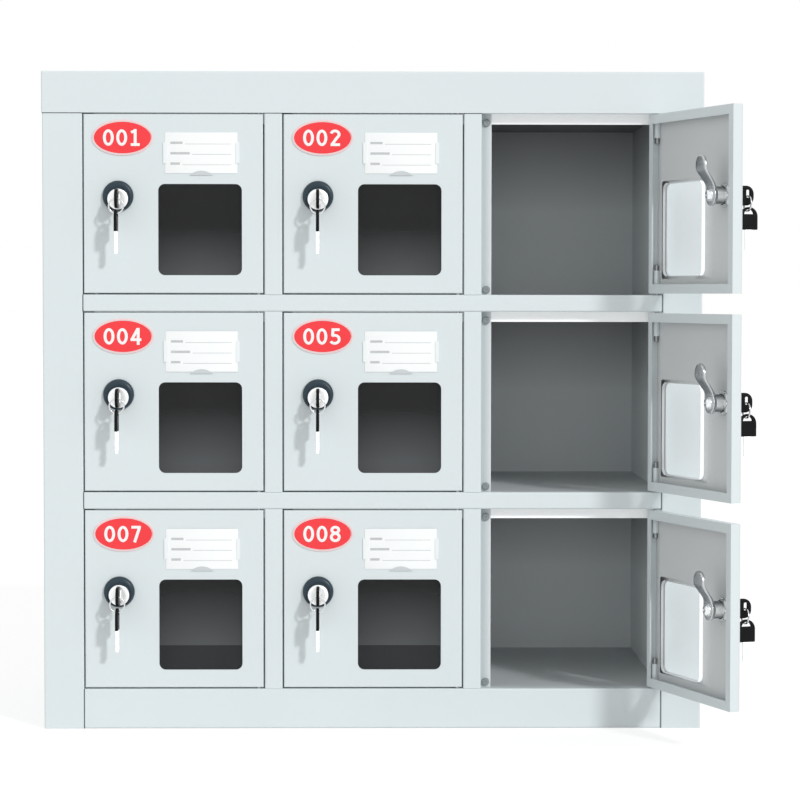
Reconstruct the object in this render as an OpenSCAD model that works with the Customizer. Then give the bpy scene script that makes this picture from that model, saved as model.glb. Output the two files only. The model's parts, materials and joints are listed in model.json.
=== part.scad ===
// Nine-door steel phone locker with window doors, cam locks and concealed pin hinges.
// Millimetres. Origin at the centre of the footprint on the floor, +Z up, doors facing -Y.
// Shapes are drawn from the front face of the doors: there y = 0 is the front and +y is inwards.

/* [Compartments] */
// Clear width of one opening
opening_w = 137.5; // [130:0.5:170]
// Clear height of one opening
opening_h = 137.2; // [130:0.1:170]
// Width of the face between two columns
divider_w = 13.5; // [12:0.5:24]
// Height of the rail between two rows
rail_h = 12.8; // [12:0.1:24]

/* [Cabinet] */
// Width of the post at each side
post_w = 30.25; // [20:0.25:50]
// Height of the base plinth
base_h = 30.3; // [20:0.1:60]
// Height of the top cap's band
cap_h = 31.3; // [20:0.1:60]
// Depth from the door face to the outside of the back panel
cab_depth = 234; // [150:1:320]
// Overhang of the cap at the sides and the front
cap_overhang = 0.6; // [0.2:0.1:3]
// Sheet thickness of the cabinet
shell_t = 1; // [0.8:0.1:1.5]
// Outer radius of the cabinet's bends
bend_r = 1.2; // [0.8:0.1:2]

/* [Frame behind the doors] */
// Depth of the front face's folded return
return_d = 12; // [11.8:0.1:14]
// Step of the wall behind the return on the lock side
wall_step = 2.2; // [2:0.1:5]
// Depth of the stop strips' front face
stop_y = 10.4; // [9.6:0.1:10.6]
// Thickness of the stop strips
stop_t = 1.2; // [0.8:0.1:1.4]
// Width of the lock-side stop strip
side_stop_w = 7.8; // [6:0.1:8]
// Height of the top stop strip
top_stop_h = 7.8; // [5:0.1:10]
// Depth of the lip that the cam hooks behind
hook_lip_d = 4.6; // [3:0.1:6]
// Diameter of a rubber bumper
bumper_d = 5.8; // [4:0.1:5.9]
// Gap between a closed door and a bumper
bumper_gap = 0.35; // [0.3:0.05:0.8]
// Height of the lower bumper's centre above the floor of the opening
bumper_low = 3.9; // [3.5:0.1:20]
// Drop of the upper bumper's centre below the top of the opening
bumper_drop = 6.8; // [3.5:0.1:20]

/* [Door] */
// Gap round a closed door
door_gap = 1; // [0.9:0.05:1.5]
// Depth of the door pan
door_t = 8; // [7.5:0.1:8.2]
// Sheet thickness of the door
door_sheet = 1; // [0.8:0.1:1.2]
// Outer radius of the door's bends
door_r = 1; // [0.8:0.1:1.4]
// Width of the folded lip at the top, the bottom and the free side
lip_w = 7; // [3:0.1:10]
// Width of the folded lip at the hinge side
hinge_lip_w = 5; // [3:0.1:6.5]
// Angle at which the third column's doors stand open
open_angle = 110; // [0:1:110]
// Gap between flat pieces that are fixed together on a door
seat_gap = 0.05; // [0.02:0.01:0.1]

/* [Hinge] */
// Pin centre from the door's hinge edge
pin_inset = 3.4; // [3.3:0.05:4]
// Pin centre behind the door's face
pin_depth = 2.9; // [2.8:0.05:2.9]
// Pin diameter
pin_d = 3; // [2.4:0.1:3.2]
// Radial clearance of a pin
pin_clear = 0.05; // [0.02:0.01:0.1]
// Outer diameter of a hinge barrel
barrel_d = 5.6; // [5.2:0.1:5.6]
// Length of a hinge barrel from the door's edge
barrel_len = 17.5; // [10:0.5:30]
// Pin tail that shows past the barrel
pin_tail = 4.4; // [2:0.1:8]
// Depth that a pin enters the frame
pin_seat = 5; // [3:0.1:5.5]

/* [Window] */
// Sheet between the window and the hinge side of the opening
window_hinge_side = 17; // [14.2:0.1:40]
// Window height
window_h = 68.9; // [40:0.1:74]
// Corner radius of the window
window_r = 5; // [2:0.1:12]
// Window's left edge from the left edge of the opening
window_left = 57.3; // [56:0.1:60]
// Window's top edge below the top of the opening
window_drop = 53.7; // [50:0.1:56]
// Pane thickness
pane_t = 3; // [1.5:0.1:3.5]
// Pane margin at the lock side of the window
pane_lock_margin = 13; // [4:0.5:13]
// Pane margin at the hinge side of the window
pane_hinge_margin = 8; // [3:0.5:8]
// Pane margin above and below the window
pane_end_margin = 9; // [3:0.5:9]

/* [Number plate and card] */
// Number plate width
plate_w = 44.8; // [30:0.1:50]
// Number plate height
plate_h = 25.9; // [18:0.1:28]
// Number plate thickness
plate_t = 0.8; // [0.4:0.1:1.5]
// Number plate centre from the left edge of the opening
plate_left = 30; // [26:0.1:32]
// Number plate centre below the top of the opening
plate_drop = 19.1; // [15:0.1:22]
// Card width
card_w = 54.6; // [40:0.1:58]
// Card height
card_h = 30.7; // [20:0.1:32]
// Card thickness
card_t = 0.3; // [0.2:0.05:0.5]
// Card's left edge from the left edge of the opening
card_left = 62.6; // [60:0.1:66]
// Card's top edge below the top of the opening
card_drop = 15; // [12:0.1:17]
// Length of a side clip
clip_len = 15.8; // [8:0.1:20]
// Clip cover over the card's edge
clip_over = 1.2; // [0.8:0.1:2]
// Clip foot beside the card
clip_foot = 1.4; // [1:0.1:2.5]
// Thickness of a clip
clip_t = 0.5; // [0.4:0.1:0.8]
// Width of the round clip under the card
thumb_w = 17.4; // [10:0.1:24]
// Cover of the round clip over the card's edge
thumb_over = 2; // [1:0.1:3]
// Clearance round the card
card_clear = 0.08; // [0.05:0.01:0.15]

/* [Lock] */
// Lock axis from the left edge of the opening
lock_left = 27.06; // [26.5:0.01:27.5]
// Lock axis below the top of the opening
lock_drop = 65.3; // [60:0.1:75]
// Bezel diameter
bezel_d = 23.4; // [22.6:0.1:25]
// Bezel centre above the lock axis
bezel_rise = 2.3; // [1:0.1:2.5]
// Bezel height in front of the door
bezel_t = 4; // [3:0.1:4.5]
// Plug face diameter
face_d = 16; // [14.5:0.1:16.4]
// Plug face in front of the bezel
face_proud = 0.4; // [0.2:0.1:1]
// Depth of the plug face's seat in front of the door
face_seat = 0.8; // [0.5:0.1:1.5]
// Barrel diameter
lock_barrel_d = 16.6; // [15:0.1:16.8]
// Barrel end behind the door's face
lock_barrel_end = 9.8; // [8:0.1:9.8]
// Plug shaft diameter
plug_d = 11; // [10.2:0.1:12]
// Radial clearance of the plug and of the nut
plug_clear = 0.05; // [0.02:0.01:0.1]
// Nut size across flats
nut_af = 19; // [18:0.1:20]
// Nut thickness
nut_t = 2.5; // [2:0.1:4]

/* [Cam] */
// Cam reach from the lock axis to its tip
cam_reach = 26.9; // [24:0.1:28]
// Cam width
cam_w = 12; // [9:0.1:13]
// Diameter of the cam's round root
cam_root_d = 15.5; // [14:0.1:16]
// Cam thickness
cam_t = 2.6; // [2:0.1:3]
// Cam root behind the barrel's end
cam_gap = 0.4; // [0.35:0.05:0.6]
// Crank of the cam, from root to tip
cam_crank = 8.2; // [8:0.1:10]
// Distance from the axis at which the crank starts
crank_start = 7; // [5:0.1:8]
// Distance from the axis at which the crank ends
crank_end = 17; // [14:0.1:18]
// Side of the plug's square tail
tail_side = 7; // [6.5:0.1:7.2]
// Screw head diameter
screw_d = 9.6; // [9:0.1:10]
// Screw head height
screw_h = 3; // [2:0.1:4]
// Screw shank diameter
shank_d = 4; // [3:0.1:4.5]
// Screw shank length
shank_len = 4.6; // [4:0.1:5]
// Width of the slots of the cross in the screw head
slot_w = 1.2; // [1:0.1:1.5]

/* [Keys] */
// Thickness of a key's bow
bow_t = 3; // [2.6:0.1:3]
// Thickness of a key's blade
blade_t = 2.2; // [1.6:0.1:2.3]
// Width of a key's blade
blade_w = 7.4; // [6:0.1:7.8]
// Length of the lock key's blade inside the plug
blade_in = 11.5; // [8:0.1:11.5]
// Clearance of the blade in the keyway
keyway_clear = 0.1; // [0.05:0.01:0.15]
// Start of the lock key's bow in front of the door's face
bow_start = 7.5; // [6.5:0.1:9]
// End of the lock key's bow in front of the door's face
bow_end = 22.2; // [21.5:0.1:24]
// Height of the lock key's bow
bow_h = 14.4; // [13.8:0.1:15]
// Corner radius of the lock key's bow
bow_r = 6; // [4:0.1:6.5]
// Height of the bar below the hole in the lock key's bow
bar_h = 5.8; // [5:0.1:6]
// Height of the hole in the lock key's bow
bow_hole_h = 5.7; // [5:0.1:6]
// Width of the hole in the lock key's bow
bow_hole_w = 3; // [2.6:0.1:3.4]
// Rim between that hole and the end of the bow
bow_rim = 3; // [2.4:0.1:3.4]
// Width of the spare key's bow
spare_w = 14; // [12.5:0.1:15]
// Height of the spare key's bow
spare_h = 16.5; // [15:0.1:18]
// Rim above the spare key's hole
spare_rim = 1.7; // [1.4:0.1:2]
// Radius of the spare key's half-round hole
spare_hole_r = 4; // [3.8:0.1:4.5]
// Length of the spare key's blade
spare_blade = 16.7; // [12:0.1:22]
// Spare key's middle in front of the ring
spare_shift = 0.8; // [0:0.1:0.9]
// Wire diameter of the key ring
wire_d = 1.1; // [0.9:0.05:1.2]
// Inner radius of the key ring
ring_r = 4.95; // [4.9:0.05:5.2]
// Gap between the ring and the bar of the lock key
bar_gap = 0.7; // [0.68:0.01:0.8]
// Gap between the ring and the rim of the spare key
rim_gap = 0.75; // [0.72:0.01:0.9]

/* [Hidden] */
$fn = 48;
columns = 3;
rows = 3;
eps = 0.01;
slack = 10;
col_pitch = opening_w + divider_w;
row_pitch = opening_h + rail_h;
mid_w = columns * opening_w + (columns - 1) * divider_w;
body_w = mid_w + 2 * post_w;
frame_top = base_h + rows * opening_h + (rows - 1) * rail_h;
inner_depth = cab_depth - shell_t;
front_y = -cab_depth / 2;

door_w = opening_w - 2 * door_gap;
door_h = opening_h - 2 * door_gap;
pin_x = opening_w - door_gap - pin_inset;
lock_z = opening_h - lock_drop;
plate_z = opening_h - plate_drop;
card_z = opening_h - card_drop - card_h;
window_w = opening_w - window_left - window_hinge_side;
window_z = opening_h - window_drop - window_h;

plug_face = -bezel_t - face_proud;
cam_y = lock_barrel_end + cam_gap;
tail_end = cam_y + seat_gap + cam_t;
bar_top = -bow_h / 2 + bar_h;
ring_z = bar_top + bar_gap - ring_r;
ring_y = -(bow_end - bow_rim - bow_hole_w / 2);
spare_top = ring_z - ring_r + rim_gap + spare_rim;

function col_x(col) = -mid_w / 2 + col * col_pitch;
function row_z(row) = base_h + (rows - 1 - row) * row_pitch;
function col_of(n) = (n - 1) % columns;
function row_of(n) = floor((n - 1) / columns);
function rest_angle(n) = col_of(n) == columns - 1 ? open_angle : 0;
function ellipse(w, h, steps) =
    [for (i = [0 : steps - 1]) [w / 2 * cos(360 * i / steps), h / 2 * sin(360 * i / steps)]];

doors = [1 : columns * rows];

paint = [0.875, 0.905, 0.913];
edge_paint = [0.80, 0.82, 0.84];
slate = [0.20, 0.25, 0.29];
chrome = [0.78, 0.79, 0.81];
steel = [0.60, 0.62, 0.64];
black = [0.07, 0.07, 0.08];
rubber = [0.55, 0.59, 0.60];
clear = [0.80, 0.88, 0.90, 0.35];
card_white = [0.97, 0.98, 0.98];
plate_red = [0.93, 0.22, 0.24];

// Placing helpers

module from_front() {
    translate([0, front_y, 0]) children();
}

module at_opening(col, row) {
    from_front() translate([col_x(col), 0, row_z(row)]) children();
}

module at_each_opening() {
    for (col = [0 : columns - 1], row = [0 : rows - 1]) at_opening(col, row) children();
}

// A door's own place: its opening, turned about its hinge pins to where it stands.
module at_door(n) {
    at_opening(col_of(n), row_of(n))
        translate([pin_x, pin_depth, 0]) rotate([0, 0, rest_angle(n)]) translate([-pin_x, -pin_depth, 0])
            children();
}

module at_lock(n) {
    at_door(n) translate([lock_left, 0, lock_z]) children();
}

// A cylinder along +y from one depth to another
module along_y(d, y0, y1) {
    translate([0, y0, 0]) rotate([-90, 0, 0]) cylinder(d = d, h = y1 - y0);
}

// A flat outline in x and z, given thickness from one depth to another
module plate_y(y0, y1) {
    translate([0, y1, 0]) rotate([90, 0, 0]) linear_extrude(y1 - y0) children();
}

// An outline in y and z, given thickness evenly about x = 0
module plate_x(t) {
    translate([-t / 2, 0, 0]) rotate([90, 0, 90]) linear_extrude(t) children();
}

module rounded_rect(w, h, r) {
    translate([r, 0]) square([w - 2 * r, h]);
    translate([0, r]) square([w, h - 2 * r]);
    for (x = [r, w - r], y = [r, h - r]) translate([x, y]) circle(r);
}

// A sheet edge outline whose two front corners are bent round
module front_rounded(w, d, r) {
    translate([r, 0]) square([w - 2 * r, d]);
    translate([0, r]) square([w, d - r]);
    for (x = [r, w - r]) translate([x, r]) circle(r);
}

// Cabinet

module top_cap() {
    w = body_w + 2 * cap_overhang;
    d = cab_depth + cap_overhang;
    inner_w = mid_w;
    color(paint) from_front() translate([-w / 2, -cap_overhang, frame_top]) difference() {
        intersection() {
            linear_extrude(cap_h) front_rounded(w, d, bend_r);
            translate([w, 0, 0]) rotate([90, 0, -90]) mirror([1, 0, 0]) linear_extrude(w)
                union() {
                    square([d, cap_h - bend_r]);
                    translate([bend_r, 0]) square([d - bend_r, cap_h]);
                    translate([bend_r, cap_h - bend_r]) circle(bend_r);
                }
        }
        translate([shell_t, shell_t, shell_t]) cube([w - 2 * shell_t, d - 2 * shell_t, cap_h - 2 * shell_t]);
        translate([(w - inner_w) / 2, cap_overhang + return_d, -slack])
            cube([inner_w, inner_depth - 2 * return_d, slack + shell_t + eps]);
        for (col = [0 : columns - 1])
            translate([w / 2 + col_x(col) + pin_x, cap_overhang + pin_depth, -slack])
                cylinder(d = pin_d + 2 * pin_clear, h = slack + shell_t + eps);
    }
}

module ceiling_panel() {
    color(paint) from_front() translate([-mid_w / 2, return_d, frame_top])
        cube([mid_w, inner_depth - 2 * return_d, shell_t]);
}

// Outline of a side wall seen from above: post face, outer skin and inner skin, open at the back.
// The inner skin steps away from the opening behind the return by the given amount.
module side_outline(step) {
    difference() {
        union() {
            front_rounded(post_w, return_d, bend_r);
            translate([0, return_d - eps]) square([post_w - step, inner_depth - return_d + eps]);
        }
        translate([shell_t, shell_t]) square([post_w - 2 * shell_t, return_d - 2 * shell_t]);
        translate([shell_t, shell_t])
            square([post_w - step - 2 * shell_t, inner_depth - shell_t + slack]);
    }
}

module left_side() {
    color(paint) from_front() translate([-body_w / 2, 0, 0])
        linear_extrude(frame_top) side_outline(wall_step);
}

module right_side() {
    color(paint) from_front() translate([body_w / 2, 0, 0])
        linear_extrude(frame_top) mirror([1, 0]) side_outline(0);
}

module back_panel() {
    color(paint) from_front() translate([-body_w / 2, inner_depth, 0])
        cube([body_w, shell_t, frame_top]);
}

// A hollow rail and shelf between the posts, folded from one sheet and open at the back.
// Behind the left post's return it widens to meet the stepped wall there.
// Pins enter its top skin and its bottom skin where asked.
module tray(h, pins_above, pins_below) {
    left = -mid_w / 2 - wall_step;
    difference() {
        translate([left, 0, 0]) rotate([90, 0, 90]) linear_extrude(mid_w + wall_step) difference() {
            union() {
                translate([bend_r, 0]) square([inner_depth - bend_r, h]);
                translate([0, bend_r]) square([inner_depth, h - 2 * bend_r]);
                for (z = [bend_r, h - bend_r]) translate([bend_r, z]) circle(bend_r);
            }
            translate([shell_t, shell_t]) square([inner_depth, h - 2 * shell_t]);
        }
        translate([left - slack, -slack, -slack]) cube([wall_step + slack, return_d + slack, h + 2 * slack]);
        for (col = [0 : columns - 1]) translate([col_x(col) + pin_x, pin_depth, 0]) {
            if (pins_above) translate([0, 0, h - shell_t - eps])
                cylinder(d = pin_d + 2 * pin_clear, h = slack);
            if (pins_below) translate([0, 0, shell_t + eps - slack])
                cylinder(d = pin_d + 2 * pin_clear, h = slack);
        }
    }
}

module base_plinth() {
    color(paint) from_front() tray(base_h, true, false);
}

module shelf(row) {
    color(paint) from_front() translate([0, 0, row_z(row) - rail_h]) tray(rail_h, true, true);
}

module shelf_upper() {
    shelf(0);
}

module shelf_lower() {
    shelf(1);
}

// Outline of a divider seen from above: a full-width head, then a body stepped in on the lock side
module divider_outline() {
    difference() {
        union() {
            front_rounded(divider_w, return_d, bend_r);
            translate([0, return_d - eps])
                square([divider_w - wall_step, inner_depth - return_d + eps]);
        }
        translate([shell_t, shell_t]) square([divider_w - 2 * shell_t, return_d - 2 * shell_t]);
        translate([shell_t, shell_t])
            square([divider_w - wall_step - 2 * shell_t, inner_depth - shell_t + slack]);
    }
}

module divider(col) {
    color(paint) for (row = [0 : rows - 1]) at_opening(col, row)
        translate([opening_w, 0, 0]) linear_extrude(opening_h) divider_outline();
}

module divider_left() {
    divider(0);
}

module divider_right() {
    divider(1);
}

module lock_side_stops() {
    color(edge_paint) at_each_opening() translate([0, stop_y, 0]) linear_extrude(opening_h) union() {
        square([side_stop_w, stop_t]);
        translate([side_stop_w - stop_t, 0]) square([stop_t, hook_lip_d]);
    }
}

module top_stops() {
    color(edge_paint) at_each_opening() translate([side_stop_w, stop_y, opening_h - top_stop_h])
        cube([opening_w - side_stop_w, stop_t, top_stop_h]);
}

module door_bumpers() {
    color(rubber) at_each_opening() for (z = [bumper_low, opening_h - bumper_drop])
        translate([side_stop_w / 2, 0, z]) along_y(bumper_d, door_t + bumper_gap, stop_y);
}

module hinge_pins() {
    pin_len = pin_seat + door_gap + barrel_len + pin_tail;
    color(steel) at_each_opening() translate([pin_x, pin_depth, 0]) {
        translate([0, 0, -pin_seat]) cylinder(d = pin_d, h = pin_len);
        translate([0, 0, opening_h + pin_seat - pin_len]) cylinder(d = pin_d, h = pin_len);
    }
}

// Doors

module pan_outline_xy() {
    translate([door_gap, 0]) front_rounded(door_w, door_t, door_r);
}

module pan_outline_yz() {
    translate([door_r, 0]) square([door_t - door_r, door_h]);
    translate([0, door_r]) square([door_t, door_h - 2 * door_r]);
    for (z = [door_r, door_h - door_r]) translate([door_r, z]) circle(door_r);
}

// A clip pressed out of the door that holds one edge of the card; the edge lies at x = 0
module side_clip() {
    top = seat_gap + card_t + card_clear;
    translate([-clip_foot, -top - clip_t, -clip_len / 2]) cube([clip_foot + clip_over, clip_t, clip_len]);
    translate([-clip_foot, -top - clip_t, -clip_len / 2])
        cube([clip_foot - card_clear, top + clip_t + door_sheet / 2, clip_len]);
}

// The round clip under the card; the card's lower edge lies at z = 0
module thumb_clip() {
    top = seat_gap + card_t + card_clear;
    rise = thumb_over + clip_foot;
    r = (thumb_w * thumb_w / 4 + rise * rise) / (2 * rise);
    difference() {
        plate_y(-top - clip_t, door_sheet / 2) intersection() {
            translate([0, thumb_over - r]) circle(r, $fn = 96);
            translate([-thumb_w, -clip_foot]) square([2 * thumb_w, 2 * rise]);
        }
        translate([-thumb_w, -top, -card_clear]) cube([2 * thumb_w, top + slack, slack]);
    }
}

module pan() {
    difference() {
        union() {
            difference() {
                intersection() {
                    linear_extrude(opening_h) pan_outline_xy();
                    translate([0, 0, door_gap]) rotate([90, 0, 90])
                        linear_extrude(opening_w) pan_outline_yz();
                }
                translate([door_gap + door_sheet, door_sheet, door_gap + door_sheet])
                    cube([door_w - 2 * door_sheet, door_t - 2 * door_sheet, door_h - 2 * door_sheet]);
                translate([door_gap + lip_w, door_sheet, door_gap + lip_w])
                    cube([door_w - lip_w - hinge_lip_w, door_t, door_h - 2 * lip_w]);
            }
            for (z = [door_gap + door_sheet / 2, opening_h - door_gap - barrel_len])
                translate([pin_x, pin_depth, z]) cylinder(d = barrel_d, h = barrel_len - door_sheet / 2);
            translate([card_left, 0, card_z + card_h / 2]) side_clip();
            translate([card_left + card_w, 0, card_z + card_h / 2]) mirror([1, 0, 0]) side_clip();
            translate([card_left + card_w / 2, 0, card_z]) thumb_clip();
        }
        translate([pin_x, pin_depth, -slack])
            cylinder(d = pin_d + 2 * pin_clear, h = opening_h + 2 * slack);
        translate([window_left, 0, window_z]) plate_y(-slack, door_sheet + eps)
            rounded_rect(window_w, window_h, window_r);
        translate([lock_left, 0, lock_z]) along_y(lock_barrel_d + 2 * plug_clear, -slack, door_sheet + eps);
    }
}

module number_plate() {
    plate_y(-plate_t - seat_gap, -seat_gap) polygon(ellipse(plate_w, plate_h, 64));
}

module card() {
    translate([0, -card_t - seat_gap, 0]) cube([card_w, card_t, card_h]);
}

module door(n) {
    at_door(n) {
        color(paint) pan();
        color(plate_red) translate([plate_left, 0, plate_z]) number_plate();
        color(card_white) translate([card_left, 0, card_z]) card();
    }
}

module window(n) {
    color(clear) at_door(n)
        translate([window_left - pane_lock_margin, door_sheet, window_z - pane_end_margin])
            cube([window_w + pane_lock_margin + pane_hinge_margin, pane_t, window_h + 2 * pane_end_margin]);
}

// The slate bezel, off centre and higher above the plug, in one piece with the barrel
module lock_case() {
    difference() {
        union() {
            translate([0, 0, bezel_rise]) along_y(bezel_d, -bezel_t, 0);
            along_y(lock_barrel_d, -bezel_t / 2, lock_barrel_end);
        }
        along_y(face_d + 2 * plug_clear, -bezel_t - slack, -face_seat);
        along_y(plug_d + 2 * plug_clear, -bezel_t - slack, lock_barrel_end + slack);
    }
}

module lock_nut() {
    difference() {
        translate([0, door_sheet + nut_t, 0]) rotate([90, 0, 0])
            cylinder(d = nut_af / cos(30), h = nut_t, $fn = 6);
        along_y(lock_barrel_d + 2 * plug_clear, 0, door_sheet + nut_t + slack);
    }
}

module lock_body(n) {
    at_lock(n) {
        color(slate) lock_case();
        color(steel) lock_nut();
    }
}

// The turning plug: its face, shaft, square tail, keyway and screw hole
module plug() {
    difference() {
        union() {
            along_y(face_d, plug_face, -face_seat - plug_clear);
            along_y(plug_d, -face_seat - plug_clear - eps, cam_y);
            translate([-tail_side / 2, cam_y - eps, -tail_side / 2])
                cube([tail_side, tail_end - cam_y + eps, tail_side]);
        }
        translate([-blade_t / 2 - keyway_clear, plug_face - slack, -blade_w / 2 - keyway_clear])
            cube([blade_t + 2 * keyway_clear, slack + blade_in + keyway_clear, blade_w + 2 * keyway_clear]);
        along_y(shank_d + 2 * plug_clear, tail_end - shank_len, tail_end + slack);
    }
}

// The cranked cam, seen unlocked: it points up from the lock axis
module cam() {
    r = cam_w / 2;
    root = cam_root_d / 2;
    hole = tail_side + 2 * plug_clear;
    translate([0, cam_y + seat_gap, 0]) difference() {
        intersection() {
            plate_y(0, cam_crank + cam_t) union() {
                circle(root);
                translate([-r, 0]) square([cam_w, cam_reach - r]);
                translate([0, cam_reach - r]) circle(r);
            }
            plate_x(cam_root_d + slack) polygon([
                [0, -root - eps], [cam_t, -root - eps], [cam_t, crank_start],
                [cam_crank + cam_t, crank_end], [cam_crank + cam_t, cam_reach + eps],
                [cam_crank, cam_reach + eps], [cam_crank, crank_end], [0, crank_start]]);
        }
        translate([-hole / 2, -slack, -hole / 2]) cube([hole, 2 * slack, hole]);
    }
}

module cam_screw() {
    head = tail_end + seat_gap;
    difference() {
        union() {
            along_y(screw_d, head, head + screw_h);
            along_y(shank_d, tail_end - shank_len + plug_clear, head + eps);
        }
        for (turn = [0, 90]) rotate([0, turn, 0])
            translate([-screw_d / 3, head + screw_h / 2, -slot_w / 2])
                cube([screw_d * 2 / 3, slack, slot_w]);
    }
}

// The key in the lock, seen unlocked: its bow stands upright, square to the door
module lock_key() {
    color(black) plate_x(bow_t) difference() {
        union() {
            translate([-bow_end, -bow_h / 2 + bow_r]) square([bow_end - bow_start, bow_h - 2 * bow_r]);
            translate([-bow_end + bow_r, -bow_h / 2]) square([bow_end - bow_start - bow_r, bow_h]);
            for (z = [-1, 1]) translate([-bow_end + bow_r, z * (bow_h / 2 - bow_r)]) circle(bow_r);
        }
        translate([-bow_end + bow_rim, bar_top]) square([bow_hole_w, bow_hole_h]);
    }
    color(chrome) translate([-blade_t / 2, -bow_start - eps, -blade_w / 2])
        cube([blade_t, bow_start + eps + plug_face + blade_in, blade_w]);
}

module lock_cam(n) {
    at_lock(n) {
        color(chrome) plug();
        color(steel) cam();
        color(steel) cam_screw();
        lock_key();
    }
}

module key_ring() {
    rotate([90, 0, 0]) rotate_extrude() translate([ring_r + wire_d / 2, 0]) circle(d = wire_d, $fn = 24);
}

// The spare key hangs upright from its ring; the top of its bow lies at z = 0
module hanging_key() {
    r = spare_w / 2;
    color(black) plate_x(bow_t) difference() {
        union() {
            translate([0, -r]) circle(r);
            translate([-r, -spare_h]) square([spare_w, spare_h - r]);
        }
        intersection() {
            translate([0, -spare_rim - spare_hole_r]) circle(spare_hole_r);
            translate([-r, -spare_rim - spare_hole_r]) square([spare_w, spare_hole_r]);
        }
    }
    color(chrome) translate([-blade_t / 2, -blade_w / 2, -spare_h - spare_blade])
        cube([blade_t, blade_w, spare_blade + eps]);
}

module spare_key(n) {
    at_lock(n) {
        color(chrome) translate([0, ring_y, ring_z]) key_ring();
        translate([0, ring_y - spare_shift, spare_top]) hanging_key();
    }
}

top_cap();
ceiling_panel();
left_side();
right_side();
back_panel();
base_plinth();
shelf_upper();
shelf_lower();
divider_left();
divider_right();
lock_side_stops();
top_stops();
door_bumpers();
hinge_pins();
for (n = doors) {
    door(n);
    window(n);
    lock_body(n);
    lock_cam(n);
    spare_key(n);
}
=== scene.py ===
# %% [markdown]
# # A phone locker with nine doors
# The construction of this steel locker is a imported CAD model: sheets, doors, hinges and locks at
# their real size. This lesson dresses that model in Blender. It gives every surface its finish and
# builds the small pieces that catch the eye: the locks, the keys, the number plates and the cards.

# %% Load the construction
import json
import math

import bmesh
import bpy
from mathutils import Matrix, Vector


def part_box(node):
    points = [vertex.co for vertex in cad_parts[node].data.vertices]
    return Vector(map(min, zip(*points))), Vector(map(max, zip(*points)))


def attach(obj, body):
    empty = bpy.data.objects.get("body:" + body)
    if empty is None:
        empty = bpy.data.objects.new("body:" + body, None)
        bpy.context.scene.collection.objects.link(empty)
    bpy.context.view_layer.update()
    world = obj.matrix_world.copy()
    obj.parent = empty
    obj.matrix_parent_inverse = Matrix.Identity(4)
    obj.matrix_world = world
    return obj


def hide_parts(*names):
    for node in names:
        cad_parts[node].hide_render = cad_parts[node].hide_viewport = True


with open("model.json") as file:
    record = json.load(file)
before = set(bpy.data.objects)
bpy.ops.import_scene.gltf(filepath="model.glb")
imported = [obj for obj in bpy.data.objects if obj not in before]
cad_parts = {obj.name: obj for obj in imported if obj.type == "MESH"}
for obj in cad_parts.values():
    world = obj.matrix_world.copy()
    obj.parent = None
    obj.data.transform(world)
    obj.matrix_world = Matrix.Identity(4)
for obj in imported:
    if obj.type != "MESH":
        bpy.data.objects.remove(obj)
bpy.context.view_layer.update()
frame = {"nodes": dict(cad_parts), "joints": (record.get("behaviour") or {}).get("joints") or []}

scene = bpy.context.scene
joints = {joint["name"]: joint for joint in frame["joints"]}
DOORS = range(1, 10)

# %% [markdown]
# ## The camera
# The photograph was taken with a long lens from straight in front, a little above the middle of
# the locker. The place and the three small turns below bring the corners of the locker to where
# they are in the picture. Blender's camera looks down its own -Z, so a quarter turn about X makes
# it look along +Y first.

# %% Camera
LENS = 119.4
SENSOR = 36.0
CAMERA_PLACE = Vector((-0.00457, -2.12896, 0.33077))
CAMERA_YAW = math.radians(-0.713)
CAMERA_PITCH = math.radians(-2.286)
CAMERA_ROLL = math.radians(-0.053)

camera_data = bpy.data.cameras.new("camera")
camera_data.lens = LENS
camera_data.sensor_width = SENSOR
camera_data.clip_end = 50
camera = bpy.data.objects.new("camera", camera_data)
scene.collection.objects.link(camera)
camera.matrix_world = (
    Matrix.Translation(CAMERA_PLACE)
    @ Matrix.Rotation(CAMERA_YAW, 4, "Z")
    @ Matrix.Rotation(CAMERA_PITCH, 4, "X")
    @ Matrix.Rotation(CAMERA_ROLL, 4, "Y")
    @ Matrix.Rotation(math.radians(90), 4, "X"))
scene.camera = camera
scene.view_settings.view_transform = "Standard"
print("camera at", tuple(round(v, 3) for v in camera.location))

# %% [markdown]
# ## Light and background
# The shadow of each key falls to its lower left, so the main light stands to the right of the
# viewer and above. A sun lamp gives parallel light, and its angle sets how soft the shadows are.
# The even light of a white studio fills the rest. The two add up to a little over one on the
# doors, so that a colour renders about as it is written. The background is white for the camera,
# and for metal and glass that mirror it or let it through, but not for the light on the object.

# %% Lamps and world
FILL_LEVEL = 0.72
KEY_LEVEL = 0.32
KEY_RIGHT = math.radians(34)
KEY_UP = math.radians(27)
KEY_SOFTNESS = math.radians(5)


def add_node(tree, kind, **settings):
    """Adds a node and sets its properties."""
    node = tree.nodes.new(kind)
    for key, value in settings.items():
        setattr(node, key, value)
    return node


def feed(tree, socket, value):
    """Joins another socket to an input, or sets the input's own value."""
    if isinstance(value, bpy.types.NodeSocket):
        tree.links.new(value, socket)
    else:
        socket.default_value = value


def add_math(tree, operation, first, second=0.0):
    """Adds a Math node. Each input is a socket or a number, and the result is a socket."""
    node = add_node(tree, "ShaderNodeMath", operation=operation)
    feed(tree, node.inputs[0], first)
    feed(tree, node.inputs[1], second)
    return node.outputs[0]


def seen_directly(tree):
    """A value that is 1 for what the camera sees, straight or through metal and glass."""
    path = add_node(tree, "ShaderNodeLightPath")
    mirrored = add_math(tree, "MAXIMUM", path.outputs["Is Glossy Ray"], path.outputs["Is Transmission Ray"])
    return add_math(tree, "MAXIMUM", path.outputs["Is Camera Ray"], mirrored)


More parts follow.
